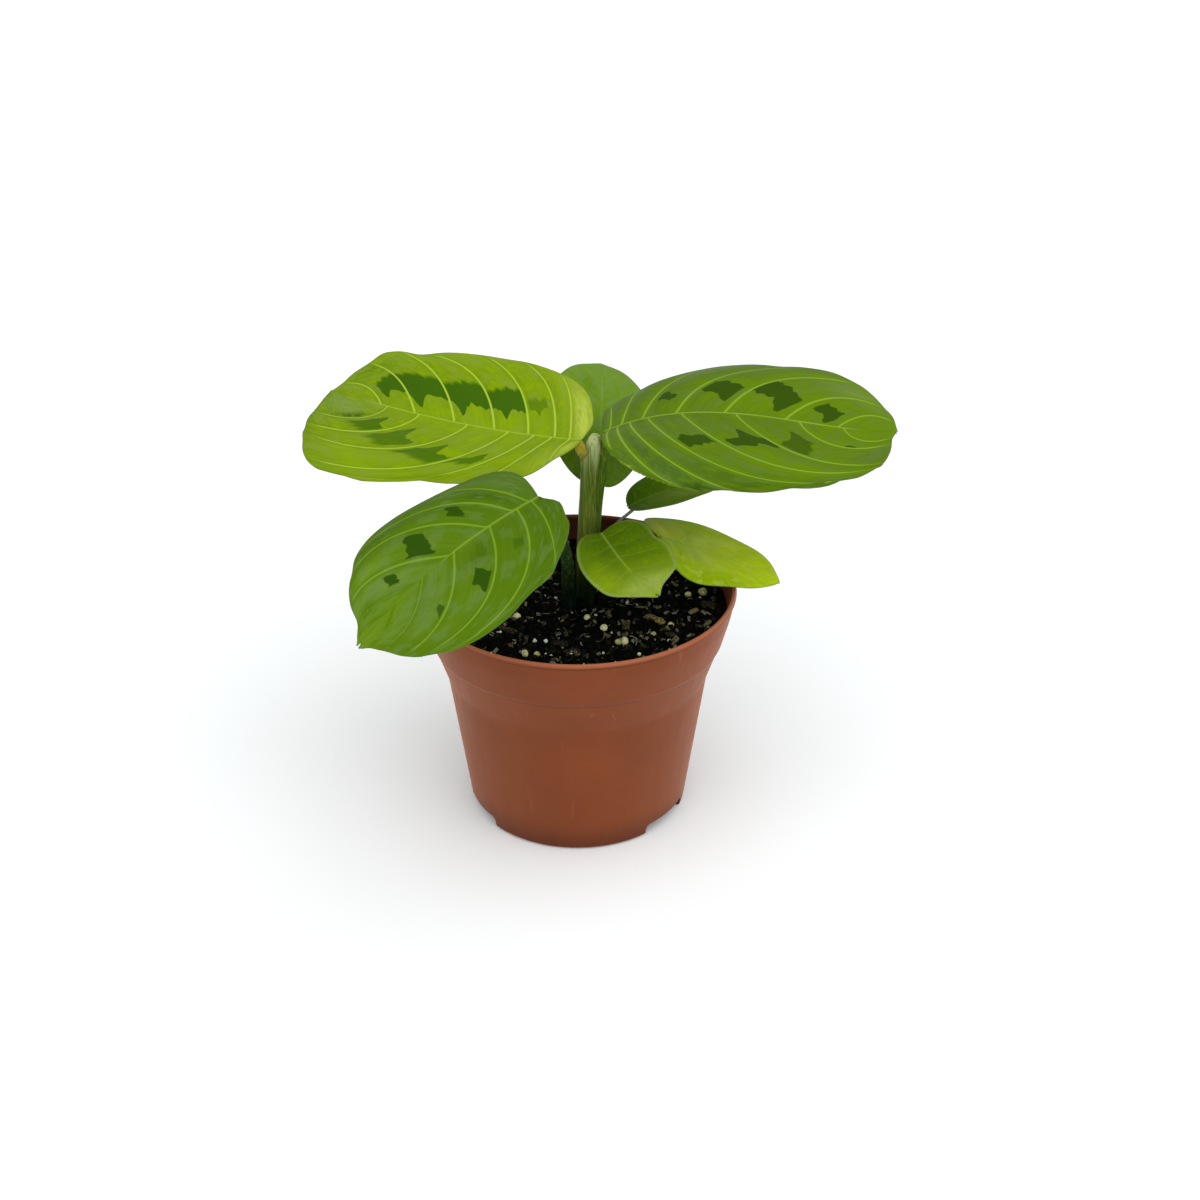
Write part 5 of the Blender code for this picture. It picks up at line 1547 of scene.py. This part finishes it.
class PLANT_OT_stalks(bpy.types.Operator):
    """Sweeps the ribbed leaf stalks and the sheath of the main shoot"""

    bl_idname = "plant.stalks"
    bl_label = "Leaf stalks"
    bl_options = {"REGISTER", "UNDO"}

    def execute(self, context):
        look = context.scene.plant_stalks
        tree = sweeping_tree()
        pieces = [(f"ribbed_{name}", name, stalk) for name, stalk in STALKS.items()]
        pieces += [(f"shoot_{name}", "main_shoot", stalk) for name, stalk in SHOOT.items()]
        for name, node, stalk in pieces:
            surface = stalk_skin(name, stalk.shades)
            piece = swept_stalk(name, stalk, look, tree, surface)
            dress(piece, node, surface)
            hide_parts(node)
        return {"FINISHED"}


class PLANT_OT_leaves(bpy.types.Operator):
    """Makes the seven leaf blades with their veins, quilting and blotches"""

    bl_idname = "plant.leaves"
    bl_label = "Leaf blades"
    bl_options = {"REGISTER", "UNDO"}

    def execute(self, context):
        look = context.scene.plant_leaves
        for name, leaf in LEAVES.items():
            piece = blade(f"blade_{name}", leaf, look)
            dress(piece, f"leaf_{name}", leaf_upper(name, leaf, look), leaf_under(name, look))
            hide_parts(f"leaf_{name}")
        return {"FINISHED"}


class PLANT_OT_stage(bpy.types.Operator):
    """Sets the pale floor, the soft light and the camera"""

    bl_idname = "plant.stage"
    bl_label = "Studio"
    bl_options = {"REGISTER", "UNDO"}

    def execute(self, context):
        look = context.scene.plant_stage
        half, below = look.floor_size / 2, -0.02 * MM
        corners = [(-half, -half, below), (half, -half, below), (half, half, below), (-half, half, below)]
        floor = new_object("studio_floor", corners, [], [(0, 1, 2, 3)])
        floor.data.materials.append(seamless_paper(look))
        world = bpy.data.worlds.new("Studio room")
        world.use_nodes = True
        world.node_tree.nodes.clear()
        add = partial(add_node, world.node_tree)
        room = add("ShaderNodeBackground", {"Color": linear("FFFFFF"), "Strength": look.room})
        add("ShaderNodeOutputWorld", {"Surface": room})
        context.scene.world = world
        lamp = bpy.data.lights.new("Broad light", "SUN")
        lamp.energy, lamp.angle = look.sun, look.spread
        light = bpy.data.objects.new("Broad light", lamp)
        light.rotation_euler = [math.radians(tilt) for tilt in LIGHT_TILT]
        lens = bpy.data.cameras.new("Camera")
        lens.lens, lens.sensor_width, lens.clip_start = look.lens, 36.0, 0.01
        camera = bpy.data.objects.new("Camera", lens)
        back = Vector((0.0, -math.cos(look.elevation), math.sin(look.elevation)))
        camera.location = Vector(TARGET) * MM + back * look.distance
        camera.rotation_euler = (math.pi / 2 - look.elevation, 0.0, 0.0)
        for made in (light, camera):
            context.scene.collection.objects.link(made)
        context.scene.camera = camera
        context.scene.view_settings.view_transform = "Standard"
        return {"FINISHED"}


class PLANT_PT_sidebar(bpy.types.Panel):
    """Lists the plant's pieces and their settings"""

    bl_idname = "PLANT_PT_sidebar"
    bl_label = "Prayer Plant"
    bl_space_type = "VIEW_3D"
    bl_region_type = "UI"
    bl_category = "Prayer Plant"

    def draw(self, context):
        for step in STEPS:
            self.layout.operator(step.bl_idname)
        for name, group in SETTINGS.items():
            box = self.layout.box()
            box.label(text=name.replace("plant_", "").title())
            for field in group.__annotations__:
                box.prop(getattr(context.scene, name), field)


STEPS = (
    PLANT_OT_stage, PLANT_OT_pot, PLANT_OT_soil, PLANT_OT_strewing, PLANT_OT_grains, PLANT_OT_stalks,
    PLANT_OT_leaves,
)
SETTINGS = {
    "plant_pot": PotSettings, "plant_soil": SoilSettings, "plant_leaves": LeafSettings,
    "plant_stalks": StalkSettings, "plant_stage": StageSettings,
}


def register():
    for group in (*SETTINGS.values(), *STEPS, PLANT_PT_sidebar):
        bpy.utils.register_class(group)
    for name, group in SETTINGS.items():
        setattr(bpy.types.Scene, name, bpy.props.PointerProperty(type=group))


def unregister():
    for name in SETTINGS:
        delattr(bpy.types.Scene, name)
    for group in (PLANT_PT_sidebar, *reversed(STEPS), *reversed(SETTINGS.values())):
        bpy.utils.unregister_class(group)


def main():
    register()
    bpy.ops.plant.stage()
    bpy.ops.plant.pot()
    bpy.ops.plant.soil()
    bpy.ops.plant.strewing()
    bpy.ops.plant.grains()
    bpy.ops.plant.stalks()
    bpy.ops.plant.leaves()


if __name__ == "__main__":
    main()
